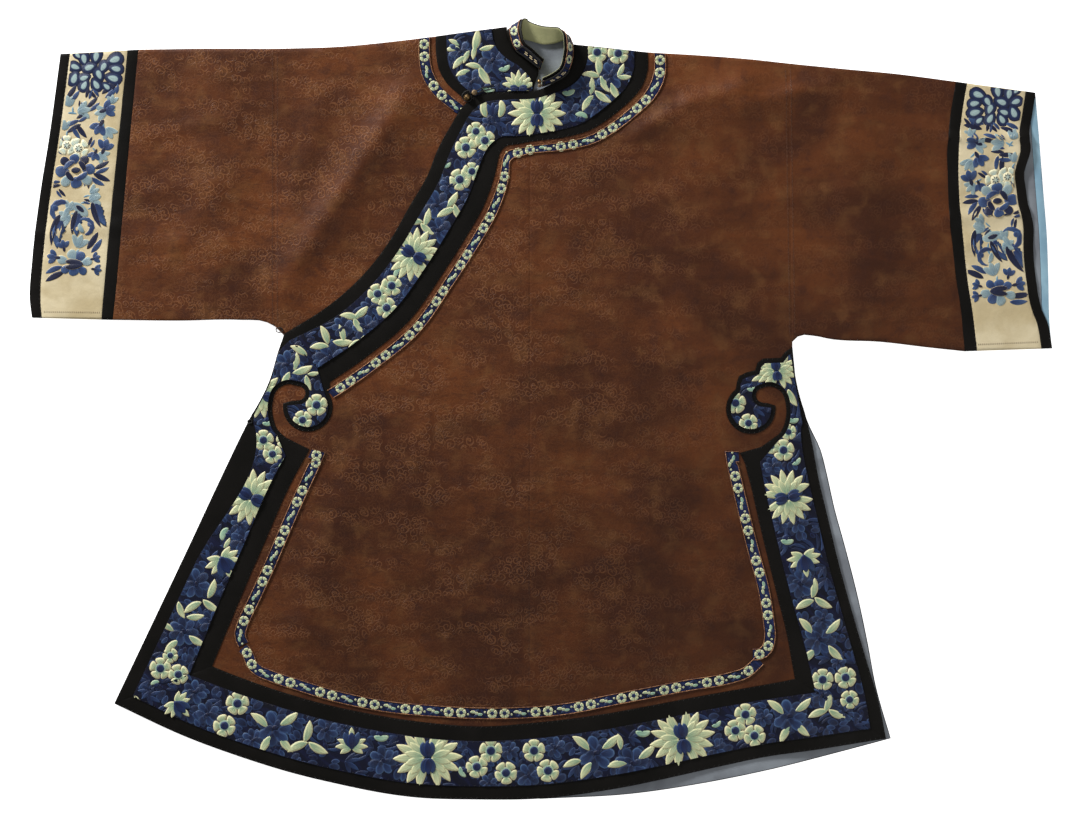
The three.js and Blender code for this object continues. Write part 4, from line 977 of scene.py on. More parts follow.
def petal(bm, x, y, turn, long, wide, dyes, curl=0.0, tip=0.15, base=0.15, lean=0.0, lift=0.0, rise=0.5,
          teeth=0, sides=20, rim=0.84, core=0.42):
    """One petal from its base at x, y. curl is how far it turns along its length, in degrees."""
    dye, stitch = bm.loops.layers.float_color["dye"], bm.loops.layers.uv["stitch"]
    first = bmesh.ops.create_circle(bm, cap_ends=True, segments=sides, radius=0.5)["verts"][0]
    face = first.link_faces[0]
    u = np.array([v.co.x + 0.5 for v in face.verts])
    side = np.sign([round(v.co.y, 4) for v in face.verts])
    w = side * np.sqrt(np.clip(u * (1 - u), 0, 1)) * (1 - u) ** tip * u ** base * (1 + lean * (2 * u - 1))
    w *= wide / 2 / np.max(np.abs(w))
    if teeth:
        w *= np.where(side > 0, 1 - 0.4 * ((u * teeth) % 1), 1)
    bend, spin = math.radians(curl), math.radians(turn)
    slim = min(1.0, wide / long)

    def set_ring(corners, keep, z, ring):
        us, ws = 0.5 + (u - 0.5) * (1 - (1 - keep) * slim), w * keep
        if abs(bend) > 1e-3:
            radius = long / bend
            px = radius * np.sin(us * bend) - ws * np.sin(us * bend)
            py = radius * (1 - np.cos(us * bend)) + ws * np.cos(us * bend)
        else:
            px, py = us * long, ws
        for v, a, b, s, t in zip(corners, px, py, us, ws):
            v.co = (x + a * math.cos(spin) - b * math.sin(spin), y + a * math.sin(spin) + b * math.cos(spin), z)
            marks[v] = (ring, s, t)

    marks = {}
    set_ring(face.verts, 1.0, -0.05, 0)
    # Ring 0, the petal's outer wall, is darkened to this share of its dye: painted shade at the edge, standing for
    # dark gaps between overlapping petals. Voided petals keep their dye there.
    shade, edge = 0.12, 0.86
    if dyes in (VOIDED, VOIDED_DARK, VOIDED_PALE):
        shade, edge = 1.0, 0.88
    faces = []
    for ring, keep, z in ((1, edge, lift + 0.12), (2, rim, lift + rise * 0.75), (3, core, lift + rise)):
        before = face.verts[:]
        face = bmesh.ops.extrude_discrete_faces(bm, faces=[face])["faces"][0]
        set_ring(face.verts, keep, z, ring)
        faces += [f for v in before for f in v.link_faces if f not in faces]
    faces.append(face)
    for f in set(faces):
        for loop in f.loops:
            ring, s, t = marks[loop.vert]
            if ring < 2:
                c = [(a + (b - a) * s) * (1.0 if ring else shade) for a, b in zip(dyes[1], dyes[0])]
            else:
                tipward = min(1.0, max(0.0, 1.5 * s - 0.45)) if ring == 3 and dyes is not LOOP else ring == 2
                c = [b + (a - b) * tipward for a, b in zip(dyes[2], dyes[3])]
            loop[dye] = tint(*c)
            loop[stitch].uv = (s * long, t)


def polar(radius, angle):
    """x and y at this radius and angle in degrees."""
    return radius * math.cos(math.radians(angle)), radius * math.sin(math.radians(angle))


def fan(bm, count, spread, facing, long, wide, dyes, x=0.0, y=0.0, root=2.0, curl=0.0, shorter=0.0, lift=0.0,
        **more):
    """Petals side by side about one point, the middle ones drawn last."""
    order = sorted(range(count), key=lambda i: -abs(i - (count - 1) / 2))
    for rank, i in enumerate(order):
        share = (i - (count - 1) / 2) / max(1, (count - 1) / 2)
        angle = facing + spread * share / 2
        out, up = polar(root, angle)
        petal(bm, x + out, y + up, angle - curl * share / 2, long * (1 - shorter * abs(share)), wide, dyes,
              curl=curl * share, lift=lift + 0.05 * rank, **more)


def rounds(bm, count, radius, long, wide, dyes, start=90.0, x=0.0, y=0.0, **more):
    """Petals all the way round a flower's middle."""
    for i in range(count):
        angle = start + 360 * i / count
        out, up = polar(radius, angle)
        petal(bm, x + out, y + up, angle, long, wide, dyes, **more)


# %% Flowers, leaves and buds


def plum(bm, outer=CREAM, heart=HEART, ring=RING, sides=20):
    rounds(bm, 5, 3.9, 11.6, 15.2, outer, tip=0.0, base=0.2, lean=0.3, sides=sides)
    petal(bm, -8.4, 0, 0, 16.72, 16.72, ring, tip=0, base=0, lift=0.3, rise=0.25, sides=sides)
    petal(bm, -6.2, 0, 0, 12.4, 12.4, heart, tip=0, base=0, lift=0.5, rise=0.4, sides=sides)


def leaf(bm):
    petal(bm, -14, 2, -15, 29, 11, CREAM, curl=30, tip=0.4, base=0.3)


def lotus(bm):
    for facing in (0, 180):
        fan(bm, 7, 146, facing, 32, 10.4, CREAM, root=3, curl=34, shorter=0.1, tip=0.35, base=0.1, lean=0.2)
        fan(bm, 4, 88, facing, 21, 9.8, CREAM, root=3, curl=24, tip=0.35, base=0.1, lean=0.2, lift=0.35)
    for turn in (90, -90):
        for side in (1, -1):
            petal(bm, 0, 0, turn + 42 * side, 17, 8.0, BLUE, curl=-56 * side, tip=0.2, base=0.2, lift=1.0)
        petal(bm, 0, 0, turn, 17, 8.5, HEART, tip=0.3, base=0.2, lift=1.25)


def bloom(bm):
    for side in (1, -1):
        for angle, long in ((118, 17), (88, 22), (60, 22)):
            petal(bm, 0, 0, side * (angle - 12), long, 8.6, CREAM, curl=side * 24, tip=0.35, base=0.1, lift=0.1)
    for angle in (40, -40):
        petal(bm, 0, 0, angle, 23, 10, BLUE, curl=-angle * 0.8, tip=0.2, base=0.1, lift=0.3)
    petal(bm, -3, 0, 0, 24, 13, HEART, tip=0.2, base=0.1, lift=0.5)
    petal(bm, 12, 0, 0, 15, 7.6, CREAM, tip=0.35, base=0.1, lift=0.35)


def twin(bm):
    petal(bm, 8, -11, 52, 25, 11, CREAM, curl=66, tip=0.1, lift=0.2)
    petal(bm, -8, -11, 128, 25, 11, CREAM, curl=-66, tip=0.1, lift=0.2)
    for angle in (66, 114, 90):
        petal(bm, 0, -10, angle, 19, 8, HEART if angle == 90 else BLUE, tip=0.2, lift=0.4)
    fan(bm, 3, 80, -90, 12, 7, MID, y=-6, lift=0.1)


def peony(bm):
    for i in range(7):
        a = 360 / 7 * i + 12
        petal(bm, *polar(2.5, a), a - 30, 20, 14, MID if i % 2 else BLUE, curl=60, tip=0.05, base=0.1,
              lean=0.3, lift=0.05 * i, rim=0.66)
    for angle in (40, 160, 280):
        petal(bm, 0, 0, angle, 13, 9, MID, curl=60, lift=0.45, rim=0.6)
    petal(bm, -4, 0, 10, 9, 6.4, DEEP, curl=30, tip=0, base=0, lift=0.7)


def cap(bm):
    petal(bm, -8, 2, -38, 19, 8.6, GREEN, curl=76, tip=0.1, base=0.1, lift=0.15)
    petal(bm, -6, 3, 35, 11, 7.6, BLUE, curl=-40, lift=0.1)
    petal(bm, 6, 3, 145, 11, 7.6, MID, curl=40, lift=0.1)
    petal(bm, 0, 1, 90, 8.5, 6.6, HEART, lift=0.3)


def spray(bm):
    for angle, long, dyes in ((-38, 17, MID), (38, 17, MID), (-14, 21, BLUE), (16, 20, BLUE)):
        petal(bm, 0, 0, angle, long, 6.4, dyes, curl=angle * 0.8, tip=0.25, base=0.3)


def wave_stroke(bm):
    petal(bm, -12, -3, 30, 26, 5.6, BLUE, curl=-60, tip=0.3, base=0.3)
    petal(bm, -10, -8, 24, 22, 5.0, MID, curl=-48, tip=0.3, base=0.3)


def blob(bm):
    petal(bm, -7, 0, 0, 17, 12, MID, curl=30, tip=0.05, base=0.15, rim=0.6)
    petal(bm, -6, -5, -40, 12, 8, DEEP, curl=30, rim=0.6)
    petal(bm, -5, 5, 40, 13, 8, BLUE, curl=-30, rim=0.6)


def ribbon_plum(bm):
    rounds(bm, 5, 1.7, 5.4, 7.0, CREAM, tip=0.0, base=0.25, lean=0.35, rise=0.3, sides=10)
    petal(bm, -3.1, 0, 0, 6.2, 6.2, HEART, tip=0, base=0, lift=0.2, rise=0.2, sides=10)


def ribbon_sprig(bm):
    petal(bm, -9, 1, 20, 10, 4.4, CREAM, curl=-50, tip=0.3, rise=0.3, sides=10)
    petal(bm, 9, -1, 200, 10, 4.4, GREEN, curl=-50, tip=0.3, rise=0.3, sides=10)
    petal(bm, -4, -5, 20, 9, 3.6, BLUE, curl=40, rise=0.3, sides=10)
    petal(bm, 4, 5, 200, 9, 3.6, BLUE, curl=40, rise=0.3, sides=10)
    petal(bm, -2.4, 0, 0, 5, 4.6, CREAM, tip=0, base=0, lift=0.15, rise=0.3, sides=10)
    petal(bm, 11.5, 0, 90, 3.4, 3.2, CREAM, rise=0.25, sides=8)
    petal(bm, -11.5, 0, 270, 3.4, 3.2, CREAM, rise=0.25, sides=8)


def ring(bm):
    petal(bm, -12, 0, 0, 24, 18.5, LOOP, tip=0.0, base=0.1, lean=0.15, rise=0.9, rim=0.44, core=0.3)


def navy_leaf(bm):
    petal(bm, -10, 1, 10, 22, 7.4, VOIDED_DARK, curl=14, tip=0.3, base=0.2, rise=0.35)
    petal(bm, -9, -4.4, 2, 19, 6.6, VOIDED, curl=20, tip=0.3, base=0.2, rise=0.35)


def pale(bm):
    fan(bm, 3, 76, 0, 16, 8.2, VOIDED_PALE, x=-7, curl=50, root=1, rise=0.35)
    petal(bm, -16, 0, 0, 10, 2.8, PALE, curl=-30, rise=0.3)


def bud(bm):
    fan(bm, 3, 88, 0, 16, 10, VOIDED, x=-7, curl=30, root=1, rise=0.4, lift=0.05)
    petal(bm, -13, 0, 0, 11, 6, VOIDED_DARK, lift=0.3, rise=0.3)


def pale_plum(bm):
    plum(bm, BLOSSOM, BLOSSOM, [(226, 218, 184)] * 4)
    rounds(bm, 7, 1.6, 4.0, 1.5, NAVY, start=10, lift=0.9, rise=0.2, sides=8)


def grand_peony(bm):
    for i, (angle, long, wide, dyes) in enumerate((
            (8, 19, 16, VOIDED), (52, 17, 13, VOIDED_DARK), (98, 15, 15, VOIDED), (143, 18, 13, VOIDED_DARK),
            (188, 20, 17, VOIDED), (232, 20, 14, VOIDED_PALE), (276, 17, 17, VOIDED),
            (322, 20, 14, VOIDED_PALE))):
        petal(bm, *polar(7, angle), angle - 12, long, wide, dyes, curl=24, tip=0.0, base=0.05, lean=0.25,
              lift=0.05 * i)
    for i, (angle, long, dyes) in enumerate(((30, 15, VOIDED_DARK), (125, 18, VOIDED), (215, 16, VOIDED_DARK),
                                             (300, 19, VOIDED))):
        (out, up), (over, along) = polar(9, angle), polar(6, angle)
        petal(bm, out + along, up - over, angle + 60, long, 8, dyes, curl=64, tip=0.0, base=0.0,
              lift=0.5 + 0.05 * i)
    petal(bm, -6, 1, -18, 13, 9, VOIDED_DARK, curl=36, tip=0.0, base=0.0, lift=0.8)


def bloom_blue(bm):
    for angle, far, long, wide, dyes in ((165, 15, 17, 13, VOIDED_PALE), (15, 15, 17, 13, VOIDED_PALE),
                                         (215, 12, 16, 12, VOIDED), (325, 12, 16, 12, VOIDED),
                                         (110, 10, 18, 15, VOIDED_PALE), (60, 10, 18, 15, VOIDED),
                                         (270, 8, 16, 15, VOIDED)):
        petal(bm, *polar(far - 8, angle), angle - 15, long, wide, dyes, tip=0.0, lean=0.2, curl=30)
    petal(bm, -12, 3.6, 0, 24, 8.4, VOIDED_DARK, curl=-20, tip=0.0, base=0.0, lift=0.6)
    petal(bm, -12, -3.6, 0, 24, 8.4, VOIDED_DARK, curl=20, tip=0.0, base=0.0, lift=0.6)


def scroll(bm):
    petal(bm, -9, -9, -20, 46, 8.4, VOIDED, curl=235, tip=0.3, base=0.0, rise=0.4)
    petal(bm, -1, 2, 0, 9, 8.4, VOIDED, tip=0, base=0, lift=0.1, rise=0.4)
    petal(bm, -8, -7, 125, 17, 8, VOIDED_PALE, curl=-60, tip=0.2, lift=0.1, rise=0.4)


def serrate(bm):
    petal(bm, -15, 1, 0, 33, 14, VOIDED, curl=26, tip=0.3, base=0.0, teeth=7, sides=46, rise=0.35, rim=0.9)
    petal(bm, -14, -3, -6, 31, 7.4, VOIDED_DARK, curl=30, tip=0.3, base=0.0, lift=0.2, rise=0.3)


def body(bm):
    petal(bm, -12, 0, 0, 26, 14, VOIDED_PALE, curl=-20, tip=0.1, rise=0.4)
    petal(bm, -6, 0, 0, 13, 6, VOIDED_DARK, curl=-20, lift=0.4, rise=0.3)
    petal(bm, 8, 3, 40, 16, 3, PALE, curl=60, rise=0.3)


MAKERS = {
    "plum": plum, "leaf": leaf, "lotus": lotus, "bloom": bloom, "twin": twin, "peony": peony, "cap": cap,
    "spray": spray, "wave": wave_stroke, "blob": blob, "ribbon_plum": ribbon_plum, "ribbon_sprig": ribbon_sprig,
    "ring": ring, "navyleaf": navy_leaf, "pale": pale, "bud": bud, "paleplum": pale_plum,
    "grandpeony": grand_peony, "bloomblue": bloom_blue, "scroll": scroll, "serrate": serrate, "body": body,
}


def cloth_of_stitches():
    bm = bmesh.new()
    bm.loops.layers.float_color.new("dye")
    bm.loops.layers.uv.new("stitch")
    return bm


PATTERNS, REACH = {}, {}
for name, make in MAKERS.items():
    bm = cloth_of_stitches()
    make(bm)
    REACH[name] = max(v.co.xy.length for v in bm.verts)
    PATTERNS[name] = bpy.data.meshes.new("pattern_" + name)
    bm.to_mesh(PATTERNS[name])
    bm.free()
print({name: (len(mesh.polygons), round(REACH[name])) for name, mesh in PATTERNS.items()})

# %% [markdown]
# ## Sewing the strips
#
# Large flowers are set one by one, each at its own place and turn, because a hand-worked strip never repeats
# exactly. Leaves and blue scrolls then fill what is left of the dark ground. A flower that would pass the
# edge of its strip is cut along that edge, as on real yardage that was cut from a longer length.

# %% Stamping
STITCHED_IN = 0.7
BAND_JOINTS = JOINTS[:3]
SHRUNK = {}


def cut_to(one, outline, x, y, reach):
    """Cut one pattern along the strip's edge, but let it run on over a joint to the next strip."""
    a, b = outline, np.roll(outline, -1, axis=0)
    way = b - a
    s = np.clip(((x - a[:, 0]) * way[:, 0] + (y - a[:, 1]) * way[:, 1]) / np.sum(way ** 2, axis=1), 0, 1)
    near = np.flatnonzero(np.hypot(x - a[:, 0] - s * way[:, 0], y - a[:, 1] - s * way[:, 1]) < reach + STITCHED_IN)
    if not len(near):
        return
    for i in near:
        middle, span = (a[i] + b[i]) / 2, math.hypot(*way[i])
        normal = np.array([way[i][1], -way[i][0]]) / span
        if to_joint(*middle, BAND_JOINTS)[0] < 1:
            continue
        faces = [f for f in one.faces
                 if math.hypot(*(np.array(f.calc_center_median()[:2]) - middle)) < span / 2 + 5]
        geom = {*faces, *(e for f in faces for e in f.edges), *(v for f in faces for v in f.verts)}
        if geom:
            bmesh.ops.bisect_plane(one, geom=list(geom), dist=0.02, plane_co=(*(a[i] - normal * STITCHED_IN), 0),
                                   plane_no=(*normal, 0))
    centres = np.array([f.calc_center_median()[:] for f in one.faces])
    kept = inside(shrunk(outline), centres[:, 0], centres[:, 1])
    crossing = to_joint(centres[:, 0], centres[:, 1], BAND_JOINTS) < 8
    for other in OUTLINES.values():
        kept |= crossing & inside(shrunk(other), centres[:, 0], centres[:, 1])
    bmesh.ops.delete(one, geom=[f for f, on in zip(one.faces[:], kept) if not on], context="FACES")


def shrunk(outline):
    """The outline drawn in to where the stitches end, worked out once."""
    if id(outline) not in SHRUNK:
        SHRUNK[id(outline)] = drawn_in(outline, STITCHED_IN)
    return SHRUNK[id(outline)]


def stamp(bm, pattern, x, y, turn, size, outline=None, lift=0.0):
    """Sew one pattern at x, y, turned by degrees, cut at the outline's nearest edges."""
    one = bmesh.new()
    one.from_mesh(PATTERNS[pattern])
    place = (Matrix.Translation((x, y, lift)) @ Matrix.Rotation(math.radians(turn), 4, "Z")
             @ Matrix.Diagonal((size, size, 1, 1)))
    bmesh.ops.transform(one, matrix=place, verts=one.verts[:])
    if outline is not None:
        cut_to(one, outline, x, y, REACH[pattern] * size)
    poured(one, bm)


def sewn(bm, name, height, level, node=None):
    """Lay the stitches on the cloth at this level and finish them."""
    spots = spots_of(bm)
    tops = height(spots[:, 0], spots[:, 1]) + level + CLOTH + spots[:, 2]
    for v, z in zip(bm.verts, tops):
        v.co.z = z
    return finished(bm, name, THREAD, node, thickness=0, up=None)


def filled(bm, outline, taken, pick, spacing, seed, lift=-0.15):
    """Scatter blue scrolls over the ground that the flowers leave."""
    rng = random.Random(seed)
    low, high = outline.min(axis=0), outline.max(axis=0)
    way = np.gradient(outline, axis=0)
    hem_line = outline[to_joint(outline[:, 0], outline[:, 1], BAND_JOINTS) > 2]
    spots = []
    for _ in range(6000):
        x, y = rng.uniform(low[0], high[0]), rng.uniform(low[1], high[1])
        if not inside(outline, x, y)[0]:
            continue
        if any(math.hypot(x - tx, y - ty) < reach for tx, ty, reach in taken):
            continue
        if any(math.hypot(x - sx, y - sy) < spacing for sx, sy in spots):
            continue
        near = int(np.argmin(np.hypot(outline[:, 0] - x, outline[:, 1] - y)))
        if np.min(np.hypot(hem_line[:, 0] - x, hem_line[:, 1] - y)) < 3.0:
            continue
        spots.append((x, y))
        along = math.degrees(math.atan2(way[near, 1], way[near, 0]))
        turn = along + rng.choice((0, 180)) + rng.uniform(-70, 70)
        stamp(bm, rng.choice(pick), x, y, turn, rng.uniform(0.8, 1.15), outline, lift)
    return len(spots)


# %% Where the flowers go: pattern, x, y, turn, size
EMBROIDERY_NECK_LEFT = [
    ("lotus", -30.5, 437.5, 90, 0.76), ("leaf", -87.7, 504.1, 80, 1.1), ("leaf", -74, 493.1, 15, 0.75),
    ("leaf", -117.8, 501.4, 150, 0.65), ("leaf", -120.5, 493.1, 190, 0.75),
    ("leaf", -112.3, 475.3, 225, 0.9), ("leaf", -102.7, 482.2, 245, 0.7),
    ("leaf", -106.8, 460.3, 200, 0.75), ("leaf", -78.1, 454.8, -58, 1.1), ("leaf", -91.8, 469.9, 170, 0.8),
    ("leaf", -91.8, 487.7, 258, 0.7), ("cap", -50.7, 465.8, 20, 0.95), ("cap", -72.6, 437, -10, 0.95),
    ("peony", -65.8, 476.7, 30, 0.9), ("peony", -111, 489, 200, 0.75), ("peony", -95.9, 447.9, 210, 0.85),
    ("spray", -78.1, 513.7, 80, 0.9), ("spray", -57.5, 504.1, 60, 0.9), ("spray", -56.2, 446.6, 200, 0.8),
]
EMBROIDERY_LAPEL = [
    ("plum", 76.7, 487.7, 0, 0.95), ("plum", 105.5, 486.3, 12, 0.95), ("peony", 94.5, 454.8, 0, 0.9),
    ("peony", 58.9, 439.7, 170, 0.85), ("peony", 78.1, 413.7, -60, 0.95), ("leaf", 79.5, 469.9, 95, 1),
    ("leaf", 68.5, 457.5, 172, 0.9), ("leaf", 86.3, 443.8, -60, 0.95), ("leaf", 109.6, 463, 62, 0.7),
    ("leaf", 113.7, 453.4, 0, 0.7), ("leaf", 100, 434.2, -62, 0.95), ("leaf", 69.9, 441.1, 86, 0.9),
    ("leaf", 83.6, 426, -35, 1), ("leaf", 63, 419.2, -125, 0.95), ("cap", 37, 432.9, 12, 1),
    ("cap", 56.2, 401.4, 165, 1), ("peony", 39.7, 406.8, 190, 0.7), ("lotus", -5.5, 404.1, 0, 1.15),
    ("twin", -65.8, 409.6, 0, 1), ("spray", -45.2, 421.9, 30, 0.8), ("spray", -46.6, 390.4, -40, 0.8),
    ("plum", -89, 379.5, 0, 0.85), ("plum", -76.7, 367.1, 25, 0.95), ("plum", -102.7, 357.5, 10, 0.98),
    ("peony", -69.9, 390.4, -60, 0.55), ("peony", -82.2, 341.1, 40, 0.75), ("plum", -94.5, 324.7, 0, 0.85),
    ("plum", -111, 313.7, 30, 0.98), ("peony", -126, 305.5, 200, 0.6), ("cap", -128.8, 332.9, 30, 0.7),
    ("leaf", -120.5, 284.9, 55, 0.95), ("leaf", -130.1, 269.9, 205, 1), ("leaf", -115.1, 268.5, -65, 0.9),
    ("peony", -142.5, 279.5, 150, 0.9), ("leaf", -154.8, 261.6, 75, 0.95), ("leaf", -174, 256.2, 185, 0.95),
    ("leaf", -156.2, 245.2, -40, 0.9), ("peony", -141.1, 243.8, -20, 0.9), ("lotus", -174, 211, 58, 1.12),
    ("cap", -195.9, 187.7, 235, 0.9), ("peony", -180.8, 169.9, -60, 0.8), ("cap", -150.7, 226, 20, 0.7),
    ("plum", -204.1, 168.5, 0, 0.95), ("plum", -223.3, 157.5, 20, 0.92), ("plum", -211, 138.4, 40, 0.95),
    ("peony", -232.9, 139.7, 210, 0.65), ("peony", -195.9, 150.7, 0, 0.5),
    ("leaf", -245.2, 131.5, 40, 0.95), ("leaf", -261.6, 127.4, 170, 0.95),
    ("leaf", -250.7, 113.7, -60, 0.9), ("peony", -239.7, 111, -30, 0.85),
    ("peony", -271.2, 112.3, 180, 0.7), ("leaf", -271.2, 104.1, 105, 0.9), ("leaf", -254.8, 89, 215, 0.85),
    ("leaf", -271.2, 90.4, 0, 1), ("leaf", -294.5, 101.4, 112, 1), ("leaf", -302.7, 86.3, 183, 0.95),
    ("peony", -289, 71.2, -85, 0.95), ("leaf", -238.4, 98.6, 30, 0.75),
]
EMBROIDERY_SIDE_LEFT = [
    ("leaf", -330.1, 80.8, 150, 0.95), ("peony", -346.6, 61.6, 140, 0.85), ("leaf", -334.2, 64.4, 82, 0.9),
    ("leaf", -326, 52.1, 20, 1.05), ("leaf", -311, 47.9, 8, 0.6), ("leaf", -349.3, 39.7, 248, 0.95),
    ("peony", -331.5, 37, -90, 0.7), ("leaf", -319.2, 35.6, -72, 0.8), ("lotus", -380.8, 19.2, 72, 0.95),
    ("spray", -330.1, 86.3, 10, 0.8), ("plum", -306.8, 5.5, 0, 0.98), ("plum", -326, -15.1, 25, 0.86),
    ("wave", -338.4, 2.7, -22, 0.8), ("wave", -341.1, -5.5, -30, 0.6), ("blob", -300, -15.1, 60, 0.6),
    ("cap", -374, -19.2, 10, 0.85), ("blob", -379.5, -5.5, 90, 0.9), ("plum", -379.5, -42.5, 0, 0.93),
    ("plum", -367.1, -61.6, 15, 0.87), ("plum", -350.7, -42.5, 0, 0.75), ("cap", -353.4, -74, 55, 0.9),
    ("peony", -387.7, -64.4, 200, 0.5), ("lotus", -395.9, -120.5, 62, 1.15),
    ("peony", -361.6, -94.5, 60, 0.7), ("cap", -432.9, -169.9, 245, 1.1),
    ("peony", -408.2, -180.8, -60, 0.85), ("peony", -412.3, -157.5, 60, 0.55),
    ("bloom", -437, -204.1, -62, 1.2), ("leaf", -428.8, -183.6, 60, 0.6),
    ("peony", -472.6, -238.4, -120, 0.95), ("leaf", -449.3, -246.6, 70, 1),
    ("leaf", -476.7, -269.9, 212, 1), ("leaf", -452.1, -269.9, -35, 1), ("peony", -452.1, -291.8, -40, 0.8),
    ("leaf", -493.1, -275.3, -70, 0.9), ("leaf", -472.6, -284.9, 5, 0.9),
    ("peony", -489, -304.1, -60, 0.95), ("leaf", -511, -297.3, 150, 0.8),
    ("leaf", -471.2, -317.8, -30, 0.95), ("leaf", -505.5, -323.3, 220, 0.9),
    ("plum", -520.5, -354.8, 0, 0.98), ("plum", -495.9, -363, 15, 0.92), ("plum", -506.8, -337, 30, 0.7),
    ("bloom", -500, -401.4, -45, 1), ("spray", -532.9, -384.9, 200, 0.9),
    ("leaf", -552.1, -397.3, 120, 0.5), ("peony", -474, -387.7, -20, 0.8), ("cap", -527.4, -374, 200, 0.7),
    ("blob", -480.8, -343.8, 60, 1),
]
EMBROIDERY_HEM = [
    ("plum", -415.1, -402.7, 0, 1.05), ("plum", -432.9, -432.9, 20, 1.02),
    ("peony", -456.2, -416.4, 180, 0.8), ("peony", -364.4, -437, 0, 1.15),
    ("leaf", -383.6, -424.7, 140, 1.1), ("leaf", -343.8, -424.7, 35, 1.1),
    ("leaf", -376.7, -457.5, 238, 1.05), ("leaf", -349.3, -458.9, -50, 1),
    ("peony", -394.5, -452.1, 200, 0.7), ("leaf", -317.8, -441.1, 75, 1.1),
    ("leaf", -332.9, -460.3, 205, 1.1), ("leaf", -305.5, -464.4, -30, 1.1),
    ("peony", -293.2, -438.4, 20, 0.8), ("spray", -323.3, -480.8, -100, 0.8),
    ("bloom", -258.9, -463, 90, 1.05), ("cap", -219.2, -449.3, 0, 1.15),
    ("peony", -216.4, -480.8, -60, 0.9), ("peony", -268.5, -435.6, 90, 0.6),
    ("lotus", -154.8, -476.7, 2, 1.38), ("peony", -111, -450.7, 60, 0.6), ("cap", -108.2, -495.9, -60, 0.9),
    ("plum", -68.5, -467.1, 0, 1.05), ("plum", -87.7, -489, 20, 1), ("plum", -47.9, -497.3, 40, 1.02),
    ("peony", -42.5, -467.1, 60, 0.6), ("peony", -71.2, -511, -80, 0.6), ("plum", -9.6, -467.1, 0, 1.02),
    ("plum", 9.6, -494.5, 24, 1.02), ("peony", -17.8, -501.4, -90, 0.8), ("peony", 19.2, -463, 80, 0.7),
    ("peony", 75.3, -471.2, 0, 1.15), ("leaf", 56.2, -456.2, 140, 1.1), ("leaf", 95.9, -456.2, 40, 1.1),
    ("leaf", 61.6, -493.1, 235, 1.05), ("leaf", 42.5, -483.6, 200, 0.95),
    ("peony", 124.7, -484.9, -40, 1.1), ("leaf", 104.1, -484.9, 190, 1), ("leaf", 145.2, -469.9, 40, 1.05),
    ("leaf", 108.2, -454.8, 100, 0.8), ("cap", 138.4, -442.5, 0, 1.15), ("spray", 94.5, -505.5, -90, 0.8),
    ("lotus", 193.2, -450.7, 11, 1.32), ("peony", 238.4, -464.4, -30, 0.7), ("cap", 239.7, -431.5, 30, 0.8),
    ("plum", 279.5, -417.8, 0, 1), ("plum", 265.8, -439.7, 20, 0.98), ("plum", 291.8, -446.6, 40, 1),
    ("peony", 304.1, -421.9, 60, 0.6), ("peony", 339.7, -420.5, 0, 1.1), ("leaf", 321.9, -406.8, 140, 1.05),
    ("leaf", 358.9, -405.5, 40, 1), ("leaf", 332.9, -443.8, 240, 1), ("leaf", 356.2, -438.4, -45, 0.95),
    ("leaf", 393.1, -401.4, 75, 1), ("leaf", 378.1, -415.1, 200, 1), ("leaf", 404.1, -417.8, -25, 0.95),
    ("peony", 384.9, -390.4, 60, 0.8), ("peony", 416.4, -415.1, -20, 0.6),
]
EMBROIDERY_SIDE_RIGHT = [
    ("lotus", 322, 52, 8, 0.86), ("peony", 295.9, 58.9, 170, 0.6), ("leaf", 297.3, 42.5, 200, 0.7),
    ("plum", 265.8, 8.2, 0, 0.95), ("plum", 283.6, -19.2, 20, 0.85), ("cap", 287.7, 27.4, 10, 0.75),
    ("blob", 263, -15.1, -70, 0.8), ("leaf", 342.5, 15.1, -62, 0.95),
    ("cap", 343.8, -15.1, 0, 0.95), ("plum", 331.5, -56.2, 0, 0.98),
    ("plum", 315.1, -50.7, 30, 0.7), ("plum", 338.4, -31.5, 10, 0.72), ("cap", 349.3, -72.6, 40, 0.8),
    ("peony", 316.4, -78.1, 220, 0.6), ("lotus", 337, -120.5, 103, 1.12),
    ("peony", 350.7, -154.8, -60, 0.7), ("peony", 326, -156.2, 230, 0.6), ("cap", 335.6, -180.8, 0, 1),
    ("bloom", 358.9, -201.4, -80, 1.1), ("peony", 354.8, -238.4, 100, 0.95), ("leaf", 374, -245.2, 82, 1),
    ("leaf", 360.3, -265.8, 205, 1), ("leaf", 384.9, -265.8, -30, 1), ("peony", 384.9, -287.7, 20, 0.7),
    ("peony", 380.8, -315.1, -60, 1.05), ("leaf", 363, -295.9, 130, 1), ("leaf", 400, -298.6, 45, 1),
    ("leaf", 365.8, -337, 225, 1), ("leaf", 401.4, -334.2, -45, 1), ("plum", 384.9, -369.9, 0, 0.98),
    ("plum", 416.4, -367.1, 20, 0.98), ("plum", 421.9, -397.3, 40, 0.85), ("peony", 406.8, -346.6, 60, 0.5),
]
OVER = {"lotus": 0.5, "plum": 0.45, "leaf": 0.4, "bloom": 0.45, "twin": 0.3, "cap": 0.2, "peony": 0.05}
FLOWERS = {"neck_left": EMBROIDERY_NECK_LEFT, "lapel": EMBROIDERY_LAPEL, "side_left": EMBROIDERY_SIDE_LEFT,
           "hem": EMBROIDERY_HEM, "side_right": EMBROIDERY_SIDE_RIGHT}
